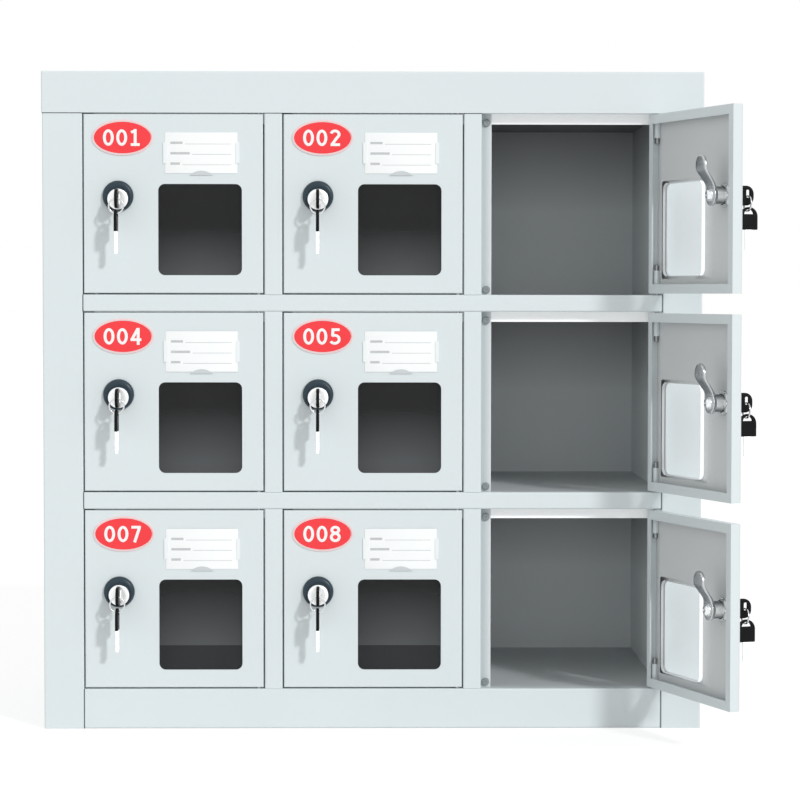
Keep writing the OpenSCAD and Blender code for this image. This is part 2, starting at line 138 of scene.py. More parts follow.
world = bpy.data.worlds.new("white studio")
world.use_nodes = True
scene.world = world
background = world.node_tree.nodes["Background"]
background.inputs["Color"].default_value = (1, 1, 1, 1)
extra = add_math(world.node_tree, "MULTIPLY", seen_directly(world.node_tree), 1 - FILL_LEVEL)
level = add_math(world.node_tree, "ADD", extra, FILL_LEVEL)
world.node_tree.links.new(level, background.inputs["Strength"])

to_light = Vector((
    math.sin(KEY_RIGHT) * math.cos(KEY_UP),
    -math.cos(KEY_RIGHT) * math.cos(KEY_UP),
    math.sin(KEY_UP)))
key_data = bpy.data.lights.new("key light", "SUN")
key_data.energy = KEY_LEVEL * math.pi / -to_light.y
key_data.angle = KEY_SOFTNESS
key_light = bpy.data.objects.new("key light", key_data)
key_light.rotation_mode = "QUATERNION"
key_light.rotation_quaternion = to_light.to_track_quat("Z", "Y")
scene.collection.objects.link(key_light)
print("key light", round(key_data.energy, 2), "W/m2, fill", FILL_LEVEL)

# %% [markdown]
# ## Floor
# The floor is a wide disc just under the locker. What the camera sees of it is mostly its own
# white glow, with a little plain diffuse white, so that the locker's shadow stays on it as a soft
# grey. To everything else it is ordinary pale floor that sends some light back up.

# %% Floor
FLOOR_RADIUS = 12.0
FLOOR_GAP = 0.0002
FLOOR_SHADE = 0.36
FLOOR_GLOW = 0.72
FLOOR_PAINT = 0.80


def floor_material():
    """A pale floor that is white to the camera and still holds a shadow."""
    material = bpy.data.materials.new("studio floor")
    material.use_nodes = True
    tree = material.node_tree
    tree.nodes.clear()
    output = add_node(tree, "ShaderNodeOutputMaterial")
    plain = add_node(tree, "ShaderNodeBsdfDiffuse")
    plain.inputs["Color"].default_value = (FLOOR_PAINT,) * 3 + (1,)
    shade = add_node(tree, "ShaderNodeBsdfDiffuse")
    shade.inputs["Color"].default_value = (FLOOR_SHADE,) * 3 + (1,)
    glow = add_node(tree, "ShaderNodeEmission")
    glow.inputs["Strength"].default_value = FLOOR_GLOW
    both = add_node(tree, "ShaderNodeAddShader")
    tree.links.new(shade.outputs[0], both.inputs[0])
    tree.links.new(glow.outputs[0], both.inputs[1])
    choose = add_node(tree, "ShaderNodeMixShader")
    tree.links.new(seen_directly(tree), choose.inputs[0])
    tree.links.new(plain.outputs[0], choose.inputs[1])
    tree.links.new(both.outputs[0], choose.inputs[2])
    tree.links.new(choose.outputs[0], output.inputs["Surface"])
    return material


floor_shape = bmesh.new()
bmesh.ops.create_circle(floor_shape, cap_ends=True, radius=FLOOR_RADIUS, segments=64)
floor_mesh = bpy.data.meshes.new("floor")
floor_shape.to_mesh(floor_mesh)
floor_shape.free()
floor_mesh.materials.append(floor_material())
floor = bpy.data.objects.new("floor", floor_mesh)
floor.location.z = -FLOOR_GAP
scene.collection.objects.link(floor)
print("floor radius", FLOOR_RADIUS, "m")

# %% [markdown]
# ## Where the doors are
# Every small piece repeats nine times, so it is built once in millimetres in the frame of a door:
# x from the left edge of the opening, y inwards from the door's face and z up from the bottom of
# the opening. The joints of the construction say where the hinge pin of each door is and which way
# its lock points. From them comes a matrix that takes a piece to its door, also to the three doors
# that stand open.

# %% Door frames
MM = 0.001
OPENING_W = 137.5
OPENING_H = 137.2
PIN = Vector((133.1, 2.9, OPENING_H / 2))
LOCK = Vector((27.06, 0, 71.9))
UP = Vector((0, 0, 1))
OPEN_DOORS = (3, 6, 9)


def from_pin(n, inward):
    """From a frame in millimetres that looks inwards along y to the row frame in metres."""
    right = inward.cross(UP)
    turn = Matrix((right, inward, UP)).transposed().to_4x4()
    place = Matrix.Translation(joints[f"door_{n}_swing"]["pos_m"])
    return place @ Matrix.Scale(MM, 4) @ turn @ Matrix.Translation(-PIN)


def opening_frame(n):
    """The frame of opening n, which never turns."""
    return from_pin(n, Vector((0, 1, 0)))


def door_frame(n):
    """The frame of door n, as it stands."""
    return from_pin(n, -Vector(joints[f"lock_{n}_turn"]["axis"]))


def lock_frame(n):
    """The frame of door n, moved to the axis of its lock."""
    return door_frame(n) @ Matrix.Translation(LOCK)


for n in DOORS:
    print("lock", n, tuple(round(v, 4) for v in lock_frame(n).translation))

# %% [markdown]
# ## Shapes from rings
# A turned or moulded piece is a skin over a row of rings: each ring has the same number of points,
# and neighbours are joined by four-sided faces. The last ring is closed by a cap, or joined to the
# first one where the shape goes round like a tube. A ring may be a circle, an ellipse or a
# rectangle with round corners, so one helper makes bezels, plugs, nuts and screws.

# %% Ring helpers
TURN_STEPS = 64
SMOOTH_ANGLE = math.radians(32)


def angles(count=TURN_STEPS):
    """Evenly spaced angles round a ring."""
    return [math.tau * i / count for i in range(count)]


def circle_ring(radius, y, rise=0.0, count=TURN_STEPS):
    """A circle about the y axis, lifted by rise."""
    return [Vector((radius * math.cos(a), y, rise + radius * math.sin(a))) for a in angles(count)]


def lathe(profile, count=TURN_STEPS):
    """Circles about the y axis, one for each radius and y of a profile."""
    return [circle_ring(radius, y, 0, count) for radius, y in profile]


def oval_ring(half_w, half_h, y, power=2.0, count=TURN_STEPS):
    """An ellipse in x and z, or with a higher power a rectangle with round corners."""

    def bent(value):
        return math.copysign(abs(value) ** (2 / power), value)

    return [Vector((half_w * bent(math.cos(a)), y, half_h * bent(math.sin(a)))) for a in angles(count)]


def finish_mesh(shape, name):
    """Merges doubles, turns the faces outwards, shades the round parts smooth and gives a mesh."""
    bmesh.ops.remove_doubles(shape, verts=shape.verts, dist=1e-5)
    bmesh.ops.recalc_face_normals(shape, faces=shape.faces)
    mesh = bpy.data.meshes.new(name)
    shape.to_mesh(mesh)
    shape.free()
    mesh.shade_smooth()
    mesh.set_sharp_from_angle(angle=SMOOTH_ANGLE)
    return mesh


def skin(name, rings, closed=False):
    """A mesh over rings of points, capped at both ends or closed on itself."""
    shape = bmesh.new()
    loops = [[shape.verts.new(point) for point in ring] for ring in rings]
    pairs = list(zip(loops, loops[1:]))
    if closed:
        pairs.append((loops[-1], loops[0]))
    for first, second in pairs:
        for i in range(len(first)):
            j = (i + 1) % len(first)
            shape.faces.new((first[i], first[j], second[j], second[i]))
    if not closed:
        shape.faces.new(loops[0])
        shape.faces.new(reversed(loops[-1]))
    return finish_mesh(shape, name)


def flat_outline(name, loops, thickness, edge, steps=3):
    """A plate cut to loops of x and y points, with rounded edges, as thick in z as asked."""
    curve = bpy.data.curves.new(name, "CURVE")
    curve.dimensions = "2D"
    curve.fill_mode = "BOTH"
    curve.extrude = thickness / 2 - edge
    curve.bevel_depth = edge
    curve.bevel_resolution = steps
    curve.offset = -edge
    for loop in loops:
        spline = curve.splines.new("POLY")
        spline.points.add(len(loop) - 1)
        for point, (x, y) in zip(spline.points, loop):
            point.co = (x, y, 0, 1)
        spline.use_cyclic_u = True
    return mesh_of_curve(name, curve)


def mesh_of_curve(name, curve):
    """A closed mesh from a filled curve."""
    source = bpy.data.objects.new(name, curve)
    scene.collection.objects.link(source)
    graph = bpy.context.evaluated_depsgraph_get()
    raw = bpy.data.meshes.new_from_object(source.evaluated_get(graph))
    bpy.data.objects.remove(source)
    shape = bmesh.new()
    shape.from_mesh(raw)
    bpy.data.meshes.remove(raw)
    return finish_mesh(shape, name)


def arc(x, y, radius, start, end, steps=10):
    """Points along an arc from one angle to another, in degrees."""
    return [
        (x + radius * math.cos(math.radians(start + (end - start) * i / steps)),
         y + radius * math.sin(math.radians(start + (end - start) * i / steps)))
        for i in range(steps + 1)]


def rounded_box(left, bottom, right, top, radius, steps=10):
    """The outline of a rectangle with round corners."""
    return (
        arc(right - radius, top - radius, radius, 0, 90, steps)
        + arc(left + radius, top - radius, radius, 90, 180, steps)
        + arc(left + radius, bottom + radius, radius, 180, 270, steps)
        + arc(right - radius, bottom + radius, radius, 270, 360, steps))


print("ring helpers ready,", TURN_STEPS, "points a ring")

# %% [markdown]
# ## Pieces on their bodies
# A finished piece is a mesh whose place is in its points, with its object at the origin, and it
# rides on the body that carries it. Every piece of a door goes through this one function. It also
# gives the piece its finishes, and hides the plain CAD solids that the piece stands for.

# %% Placing pieces
placed = []


def add_piece(name, mesh, matrix, body, materials, stands_for=()):
    """Copies a mesh to its place and makes it ride on its body."""
    own = mesh.copy()
    own.name = name
    own.transform(matrix)
    indices = [face.material_index for face in own.polygons]
    own.materials.clear()
    for material in materials:
        own.materials.append(material)
    own.polygons.foreach_set("material_index", indices)
    piece = bpy.data.objects.new(name, own)
    scene.collection.objects.link(piece)
    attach(piece, body)
    if stands_for:
        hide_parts(*stands_for)
    placed.append(name)
    return piece


def turned(mesh, matrix):
    """A mesh moved by a matrix, for use while a piece is put together."""
    mesh.transform(matrix)
    return mesh


def joined(name, parts, one_finish=False):
    """One mesh from several. Part i takes material i, unless all share one finish."""
    shape = bmesh.new()
    for index, part in enumerate(parts):
        known = len(shape.faces)
        shape.from_mesh(part)
        shape.faces.ensure_lookup_table()
        for face in shape.faces[known:]:
            face.material_index = 0 if one_finish else index
    mesh = bpy.data.meshes.new(name)
    shape.to_mesh(mesh)
    shape.free()
    return mesh


# The way from a plate drawn in x and y to one that stands in x and z, front towards -y
STAND_UP = Matrix.Rotation(math.radians(90), 4, "X")
# The way from a plate drawn in x and y to one in y and z, with its thickness along x
STAND_SIDEWAYS = Matrix(((0, 0, 1, 0), (1, 0, 0, 0), (0, 1, 0, 0), (0, 0, 0, 1)))
print("placing ready")

# %% [markdown]
# ## Shared effects for the finishes
# Some effects come back in several finishes, so each is a node group with named inputs. Grain is
# the fine unevenness of paint, plastic, rubber and paper, with slow patches of a second colour.
# Drawn marks are the long thin scratches of wire and rolled metal. Two more work from the object
# coordinates alone: one tells the inside of the cabinet from its outside, and one gives the height
# above the floor of a compartment; the painted shade inside the cabinet uses both. The last draws
# the painted dim view through a smoked window, with its painted light and shade.

# %% Shader helpers
def new_group(name, inputs, outputs):
    """A shader group with its sockets, each given as name, type and starting value."""
    group = bpy.data.node_groups.new(name, "ShaderNodeTree")
    for label, kind, value in inputs:
        socket = group.interface.new_socket(label, in_out="INPUT", socket_type=kind)
        socket.default_value = value
    for label, kind in outputs:
        group.interface.new_socket(label, in_out="OUTPUT", socket_type=kind)
    start = add_node(group, "NodeGroupInput")
    end = add_node(group, "NodeGroupOutput")
    return group, start.outputs, end.inputs


def object_place(tree):
    """The place of a point in the object's own coordinates."""
    return add_node(tree, "ShaderNodeTexCoord").outputs["Object"]


def split(tree, vector):
    """The three parts of a vector."""
    axes = add_node(tree, "ShaderNodeSeparateXYZ")
    tree.links.new(vector, axes.inputs[0])
    return axes.outputs


def noise(tree, vector, scale, detail):
    """A noise texture on a vector. The scale is a socket or a number."""
    node = add_node(tree, "ShaderNodeTexNoise")
    tree.links.new(vector, node.inputs["Vector"])
    feed(tree, node.inputs["Scale"], scale)
    node.inputs["Detail"].default_value = detail
    return node.outputs["Fac"]


def spread(tree, value, low, high):
    """Stretches a value to 0 at low and 1 at high, and holds it between them."""
    node = add_node(tree, "ShaderNodeMapRange")
    tree.links.new(value, node.inputs["Value"])
    feed(tree, node.inputs["From Min"], low)
    feed(tree, node.inputs["From Max"], high)
    return node.outputs["Result"]


def add_mix(tree, factor, first, second):
    """Mixes two colours. Each is a socket or three numbers."""
    mix = add_node(tree, "ShaderNodeMix", data_type="RGBA")
    feed(tree, mix.inputs["Factor"], factor)
    for socket, colour in ((mix.inputs[6], first), (mix.inputs[7], second)):
        feed(tree, socket, colour if isinstance(colour, bpy.types.NodeSocket) else (*colour, 1))
    return mix.outputs[2]


print("shader helpers ready")


# %% Grain group
def grain_group():
    """Fine grain for a bump, and slow patches that mix a second colour in."""
    number = "NodeSocketFloat"
    group, given, result = new_group(
        "grain",
        [("Colour", "NodeSocketColor", (0.8, 0.8, 0.8, 1)),
         ("Patch Colour", "NodeSocketColor", (0.7, 0.7, 0.7, 1)),
         ("Patch Share", number, 0.5),
         ("Patch Scale", number, 8.0),
         ("Grain Scale", number, 1200.0),
         ("Roughness", number, 0.4),
         ("Roughness Spread", number, 0.08)],
        [("Colour", "NodeSocketColor"), ("Roughness", number), ("Height", number)])
    where = object_place(group)
    patches = spread(group, noise(group, where, given["Patch Scale"], 3.0), 0.35, 0.65)
    share = add_math(group, "MULTIPLY", patches, given["Patch Share"])
    group.links.new(add_mix(group, share, given["Colour"], given["Patch Colour"]), result["Colour"])
    offset = add_math(group, "MULTIPLY", add_math(group, "SUBTRACT", patches, 0.5), given["Roughness Spread"])
    group.links.new(add_math(group, "ADD", given["Roughness"], offset), result["Roughness"])
    group.links.new(noise(group, where, given["Grain Scale"], 1.0), result["Height"])
    return group


GRAIN = grain_group()
print("group", GRAIN.name)


# %% Drawn marks group
def drawn_marks_group():
    """Long thin marks along one direction, for a bump and for the roughness."""
    number = "NodeSocketFloat"
    group, given, result = new_group(
        "drawn marks",
        [("Stretch", "NodeSocketVector", (1.0, 1.0, 0.05)),
         ("Mark Scale", number, 4000.0),
         ("Roughness", number, 0.25),
         ("Roughness Spread", number, 0.2)],
        [("Roughness", number), ("Height", number)])
    stretched = add_node(group, "ShaderNodeVectorMath", operation="MULTIPLY")
    group.links.new(object_place(group), stretched.inputs[0])
    group.links.new(given["Stretch"], stretched.inputs[1])
    marks = noise(group, stretched.outputs[0], given["Mark Scale"], 2.0)
    offset = add_math(group, "MULTIPLY", add_math(group, "SUBTRACT", marks, 0.5), given["Roughness Spread"])
    group.links.new(add_math(group, "ADD", given["Roughness"], offset), result["Roughness"])
    group.links.new(marks, result["Height"])
    return group


DRAWN_MARKS = drawn_marks_group()
print("group", DRAWN_MARKS.name)


# %% Inside mask group
def inside_group():
    """1 inside the compartments, 0 on the doors' side and on the outer skin."""
    number = "NodeSocketFloat"
    group, given, result = new_group(
        "inside the cabinet",
        [("Front", number, -0.105), ("Back", number, 0.1165), ("Half Width", number, 0.222),
         ("Bottom", number, 0.03), ("Top", number, 0.47)],
        [("Mask", number)])
    x, y, z = split(group, object_place(group))
    tests = [
        add_math(group, "GREATER_THAN", y, given["Front"]),
        add_math(group, "LESS_THAN", y, given["Back"]),
        add_math(group, "LESS_THAN", add_math(group, "ABSOLUTE", x), given["Half Width"]),
        add_math(group, "GREATER_THAN", z, given["Bottom"]),
        add_math(group, "LESS_THAN", z, given["Top"])]
    mask = tests[0]
    for test in tests[1:]:
        mask = add_math(group, "MULTIPLY", mask, test)
    group.links.new(mask, result["Mask"])
    return group


INSIDE = inside_group()
print("group", INSIDE.name)


# %% Row height group
def row_height_group():
    """How far a point is above the floor of its own compartment, in metres."""
    number = "NodeSocketFloat"
    group, given, result = new_group(
        "height in the row",
        [("Lowest Floor", number, 0.0303), ("Row Pitch", number, 0.15), ("Margin", number, 0.003)],
        [("Height", number)])
    _, _, z = split(group, object_place(group))
    above = add_math(group, "SUBTRACT", z, given["Lowest Floor"])
    above = add_math(group, "ADD", above, given["Margin"])
    share = add_math(group, "FRACT", add_math(group, "DIVIDE", above, given["Row Pitch"]))
    raised = add_math(group, "MULTIPLY", share, given["Row Pitch"])
    group.links.new(add_math(group, "SUBTRACT", raised, given["Margin"]), result["Height"])
    return group


ROW_HEIGHT = row_height_group()
print("group", ROW_HEIGHT.name)


# %% Window view group
def painted_window_view_group():
    """The painted dim view through a window, with its painted light and shade, over a map that runs from 0 to
    1 across it and up it.
    """
    number, colour = "NodeSocketFloat", "NodeSocketColor"
    group, given, result = new_group(
        "dim view",
        [("Dark Above", number, 0.53), ("Bright Below", number, 0.0), ("Floor Line", number, -1.0),
         ("Side Fall", number, 0.3), ("Dark", colour, (0.01, 0.01, 0.01, 1)),
         ("Bright", colour, (0.08, 0.08, 0.08, 1)), ("Floor", colour, (0.03, 0.03, 0.03, 1))],
        [("Colour", colour)])
    across, up, _ = split(group, add_node(group, "ShaderNodeUVMap", uv_map="window").outputs["UV"])
    # Painted light and shade of the view: the wall darkens upwards and the floor has its own colour
    fall = spread(group, up, given["Dark Above"], given["Bright Below"])
    wall = add_mix(group, fall, given["Dark"], given["Bright"])
    on_floor = add_math(group, "LESS_THAN", up, given["Floor Line"])
    seen = add_mix(group, on_floor, wall, given["Floor"])
    # Painted shade: darker towards the sides of the window
    off_middle = add_math(group, "MULTIPLY", add_math(group, "SUBTRACT", across, 0.5), 2.0)
    squared = add_math(group, "MULTIPLY", off_middle, off_middle)
    side = add_math(group, "MULTIPLY", squared, given["Side Fall"])
    group.links.new(add_mix(group, side, seen, (0, 0, 0)), result["Colour"])
    return group


WINDOW_PAINTED_VIEW = painted_window_view_group()
print("group", WINDOW_PAINTED_VIEW.name)

# %% [markdown]
# ## Finishes
# Each finish is one material with a Principled shader. What is the same all over the surface is
# set on the shader itself, and only what changes over the surface comes through a node. One helper
# makes the grained finishes and one the metals, and what is special to a finish is added to it.

# %% Finish helpers
def new_material(name, **values):
    """A material and its Principled shader, with constant values set on the shader's sockets."""
    material = bpy.data.materials.new(name)
    material.use_nodes = True
    shader = material.node_tree.nodes["Principled BSDF"]
    for socket, value in values.items():
        shader.inputs[socket.replace("_", " ")].default_value = value
    return material, material.node_tree, shader


def use_group(tree, group, values):
    """Places a group in a material and sets its inputs."""
    node = add_node(tree, "ShaderNodeGroup", node_tree=group)
    for label, value in values.items():
        node.inputs[label].default_value = value
    return node


def add_bump(tree, shader, height, depth):
    """Joins a height to the shader's normal. The depth is in metres."""
    bump = add_node(tree, "ShaderNodeBump")
    bump.inputs["Distance"].default_value = depth
    bump.inputs["Strength"].default_value = 1.0
    tree.links.new(height, bump.inputs["Height"])
    tree.links.new(bump.outputs["Normal"], shader.inputs["Normal"])


def grain_parts(name, colour, patch, rough, grain_mm, depth_mm, patch_size=0.12, **values):
    """A finish with grain, and the tree, shader and node that it is made of."""
    material, tree, shader = new_material(name, **values)
    node = use_group(tree, GRAIN, {
        "Colour": (*colour, 1), "Patch Colour": (*patch, 1), "Patch Scale": 1 / patch_size,
        "Grain Scale": 1 / (grain_mm * MM), "Roughness": rough})
    tree.links.new(node.outputs["Colour"], shader.inputs["Base Color"])
    tree.links.new(node.outputs["Roughness"], shader.inputs["Roughness"])
    add_bump(tree, shader, node.outputs["Height"], depth_mm * MM)
    return material, tree, shader, node


def grained(*given, **values):
    """A plain finish with grain: paint, plastic, rubber or paper."""
    return grain_parts(*given, **values)[0]


def drawn_metal(name, colour, rough, stretch, depth_mm, **values):
    """A bare or plated metal with fine marks along one direction."""
    material, tree, shader = new_material(name, Metallic=1.0, **values)
    shader.inputs["Base Color"].default_value = (*colour, 1)
    node = use_group(tree, DRAWN_MARKS, {"Stretch": stretch, "Roughness": rough})
    tree.links.new(node.outputs["Roughness"], shader.inputs["Roughness"])
    add_bump(tree, shader, node.outputs["Height"], depth_mm * MM)
    return material


print("finish helpers ready")

# %% [markdown]
# ### Powder coat
# The sheets are sprayed with a cool pale grey powder that melts into a satin skin with a slight
# orange peel. Doors and cabinet share it. The clips that hold a name card carry painted light: the
# side clips, which catch more light, have a paler coat as a painted highlight, and the round clip,
# which leans back, has a greyer one as painted shade.

# %% Powder coat
PAINT = (0.712, 0.775, 0.790)
PAINT_PATCH = (0.690, 0.756, 0.772)
COAT_ROUGH = 0.42
PEEL_MM = 1.1
PEEL_DEPTH_MM = 0.010


def coat_parts(name, colour=PAINT, patch=PAINT_PATCH, **values):
    """The satin powder coat in one colour, and what it is made of."""
    return grain_parts(name, colour, patch, COAT_ROUGH, PEEL_MM, PEEL_DEPTH_MM, **values)


def coat(*given, **values):
    """The satin powder coat in one colour."""
    return coat_parts(*given, **values)[0]


door_paint = coat("powder coat")
# The side clips' paler coat is a painted highlight, and the round clip's greyer coat is painted shade
clip_painted_highlight = coat("clip coat with painted highlight", (0.86, 0.90, 0.91), (0.84, 0.88, 0.89))
thumb_painted_shade = coat("round clip coat with painted shade", (0.60, 0.64, 0.65), (0.58, 0.62, 0.63))
print("powder coat ready")

# %% [markdown]
# Inside the compartments the coat carries painted light and shade: the lower walls are paler than
# the outside, the walls darken towards the top, the floors are a little darker than the walls, and
# the ceilings are nearly black, as they get hardly any light. One material does it all. The inside
# mask picks these faces out, and the height in the row tells floor, wall and ceiling apart.

# %% Coat of the cabinet
# Painted light and shade inside the compartments: lower walls, wall tops, floors and ceilings
WALL_PAINTED_LIGHT = (0.86, 0.90, 0.91)
WALL_TOP_PAINTED_SHADE = (0.36, 0.37, 0.375)
CEILING_PAINTED_SHADE = (0.12, 0.125, 0.13)
SHELF_PAINTED_SHADE = (0.60, 0.635, 0.645)
SHADE_FROM = 0.070
HAIR = 0.0003
MASK_MARGIN = 0.0005
WALL_REACH = 0.003


def shaded_cabinet_coat_material():
    """The powder coat of the cabinet: pale outside, with painted light and shade inside that make it greyer
    there and dark at the ceilings.
    """
    material, tree, shader, node = coat_parts("cabinet coat with painted light and shade inside")
    low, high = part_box("divider_left")
    mask = use_group(tree, INSIDE, {
        "Front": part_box("top_stops")[1].y, "Back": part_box("back_panel")[0].y + MASK_MARGIN,
        "Half Width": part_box("base_plinth")[1].x + WALL_REACH,
        "Bottom": low.z - MASK_MARGIN, "Top": high.z + MASK_MARGIN})
    height = use_group(tree, ROW_HEIGHT, {}).outputs["Height"]
    # Painted light and shade: pale low walls that darken upwards, darker floors and dark ceilings
    inner = add_mix(tree, spread(tree, height, SHADE_FROM, OPENING_H * MM), WALL_PAINTED_LIGHT, WALL_TOP_PAINTED_SHADE)
    inner = add_mix(tree, add_math(tree, "LESS_THAN", height, HAIR), inner, SHELF_PAINTED_SHADE)
    at_ceiling = add_math(tree, "GREATER_THAN", height, OPENING_H * MM - HAIR)
    inner = add_mix(tree, at_ceiling, inner, CEILING_PAINTED_SHADE)
    colour = add_mix(tree, mask.outputs["Mask"], node.outputs["Colour"], inner)
    tree.links.new(colour, shader.inputs["Base Color"])
    return material


cabinet_coat_with_painted_shade = shaded_cabinet_coat_material()
print("finish", cabinet_coat_with_painted_shade.name)

# %% [markdown]
# The strips that a door closes against carry painted light and shade. A side strip has a darker
# coat as painted shade, and a painted highlight grows towards the bend at the opening; a ramp across
# its width draws that. The strips repeat with the columns, so the ramp is worked out from the
# remainder of x after whole columns. The top strip has a paler coat and a little glow, painted light
# for the light that the pale door throws back.

# %% Coat of the stop strips
DIVIDER_W = 13.5
COLUMN_PITCH = OPENING_W + DIVIDER_W
STRIP_W = 7.8
STRIP_MARGIN = 2.0
STRIP_HIGHLIGHT_FROM = 2.5
# Painted highlight at the bend of each side strip
STRIP_EDGE_PAINTED_HIGHLIGHT = (0.72, 0.75, 0.76)
TOP_STRIP_PAINTED_GLOW = 0.12


def strip_material(colour, highlight_colour):
    """The coat of the side strips in painted shade, with a painted highlight towards the bend at the
    opening's side.
    """
    material, tree, shader, node = coat_parts("side strip coat with painted shade and highlight", colour, colour)
    x, _, _ = split(tree, object_place(tree))
    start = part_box("lock_side_stops")[0].x - STRIP_MARGIN * MM
    columns = add_math(tree, "DIVIDE", add_math(tree, "SUBTRACT", x, start), COLUMN_PITCH * MM)
    across = add_math(tree, "FRACT", columns)
    # Painted highlight that grows across the strip towards the bend
    ramp = spread(tree, across, (STRIP_MARGIN + STRIP_HIGHLIGHT_FROM) / COLUMN_PITCH,
                  (STRIP_MARGIN + STRIP_W) / COLUMN_PITCH)
    tree.links.new(add_mix(tree, ramp, node.outputs["Colour"], highlight_colour), shader.inputs["Base Color"])
    return material


# The side strips' darker coat is painted shade, and the top strip's paler coat and glow are painted light
side_strip_painted_shade_and_highlight = strip_material((0.51, 0.56, 0.575), STRIP_EDGE_PAINTED_HIGHLIGHT)
top_strip_painted_light = coat(
    "top strip coat with painted light", (0.95, 0.965, 0.97), (0.93, 0.945, 0.95), Emission_Color=(1, 1, 1, 1),
    Emission_Strength=TOP_STRIP_PAINTED_GLOW)
print("finishes", side_strip_painted_shade_and_highlight.name, "and", top_strip_painted_light.name)

# %% [markdown]
# The sheet inside an open door gets a darker, more neutral grey than its front: painted shade on
# the side that faces away from the key light. All three open doors lie in one plane, so the distance
# along their common inward direction picks that one face out.

# %% Coat of the open doors
# Painted shade on the inside of the open doors' pans
PAN_PAINTED_SHADE = (0.685, 0.705, 0.710)
SHEET_T = 1.0


def open_door_material():
    """The coat of the open doors, with painted shade on the inside of their pans."""
    material, tree, shader, node = coat_parts("open door coat with painted shade")
    inward = -Vector(joints[f"lock_{OPEN_DOORS[0]}_turn"]["axis"])
    depth = add_node(tree, "ShaderNodeVectorMath", operation="DOT_PRODUCT")
    tree.links.new(object_place(tree), depth.inputs[0])
    depth.inputs[1].default_value = inward
    pan = door_frame(OPEN_DOORS[0]).translation.dot(inward) + SHEET_T * MM
    behind = add_math(tree, "GREATER_THAN", depth.outputs["Value"], pan - HAIR)
    before = add_math(tree, "LESS_THAN", depth.outputs["Value"], pan + HAIR)
    on_pan = add_math(tree, "MULTIPLY", behind, before)
    tree.links.new(add_mix(tree, on_pan, node.outputs["Colour"], PAN_PAINTED_SHADE), shader.inputs["Base Color"])
    return material


open_door_coat_with_painted_shade = open_door_material()
print("finish", open_door_coat_with_painted_shade.name)

# %% [markdown]
# ### Metals
# Plated and polished parts are metals with fine marks: nickel on the cam screws, zinc on the cams,
# a polish on the lock faces and wire for pins and rings. The blades glow a little, painted light that
# keeps them white. The slim barrel behind a door, with its nut, has painted reflections: it is bright
# where its surface faces sideways and dark where it faces up or down, so the surface normal chooses
# between two colours.

# %% Metals
# Painted reflections on the barrel and nut: bright where the surface faces sideways, dark up and down
BARREL_PAINTED_BRIGHT_REFLECTION = (0.97, 0.98, 0.985)
BARREL_PAINTED_DARK_REFLECTION = (0.22, 0.23, 0.235)
STEEP_FROM = 0.25
STEEP_TO = 0.8
BLADE_PAINTED_GLOW = 0.35

nickel = drawn_metal("nickel plate", (0.90, 0.915, 0.925), 0.16, (1.0, 1.0, 0.15), 0.001)
cam_steel = drawn_metal("zinc plated cam", (0.60, 0.61, 0.62), 0.26, (1.0, 1.0, 0.2), 0.008)
pin_steel = drawn_metal("drawn wire", (0.36, 0.37, 0.38), 0.42, (1.0, 1.0, 0.03), 0.006)
# The blades' glow is painted light that keeps them white
blade_metal = drawn_metal(
    "nickel silver", (0.97, 0.975, 0.97), 0.45, (1.0, 0.2, 0.2), 0.002, Emission_Color=(1, 1, 1, 1),
    Emission_Strength=BLADE_PAINTED_GLOW)
face_metal = drawn_metal("polished face", (0.98, 0.99, 0.995), 0.33, (1.0, 1.0, 1.0), 0.0004)
ring_metal = drawn_metal("ring wire", (0.72, 0.735, 0.745), 0.22, (1.0, 1.0, 1.0), 0.0004)


def barrel_material():
    """Plated threads with painted reflections: bright along the middle of the barrel, and dark above and
    below it.
    """
    material, tree, shader = new_material("plated thread with painted reflections", Metallic=1.0, Roughness=0.2)
    _, _, z = split(tree, add_node(tree, "ShaderNodeNewGeometry").outputs["Normal"])
    steep = spread(tree, add_math(tree, "ABSOLUTE", z), STEEP_FROM, STEEP_TO)
    tree.links.new(add_mix(tree, steep, BARREL_PAINTED_BRIGHT_REFLECTION, BARREL_PAINTED_DARK_REFLECTION), shader.inputs["Base Color"])
    return material


barrel_metal_painted_reflections = barrel_material()
print("metals ready")

# %% [markdown]
# ### Lacquer, rubber, plastics and paper
# The bezel has a dark slate lacquer and the keys have black moulded bows. The number plates are
# glossy red plastic with a pale rim, a groove inside it that is darker with painted shade, and white
# figures. The cards are matt white paper with grey print.

# %% Other finishes
slate = grained(
    "slate lacquer", (0.026, 0.046, 0.062), (0.021, 0.037, 0.050), 0.34, 0.35, 0.003,
    patch_size=0.01, Specular_IOR_Level=0.3)
black_plastic = grained(
    "black moulded plastic", (0.004, 0.004, 0.005), (0.007, 0.007, 0.008), 0.4, 0.3, 0.004,
    patch_size=0.006, Specular_IOR_Level=0.12)
rubber = grained(
    "grey rubber", (0.27, 0.30, 0.31), (0.22, 0.25, 0.26), 0.75, 0.25, 0.01, patch_size=0.004)
plate_red = grained(
    "red plate plastic", (0.93, 0.045, 0.055), (0.88, 0.038, 0.048), 0.28, 0.5, 0.004, patch_size=0.02,
    Specular_IOR_Level=0.4)
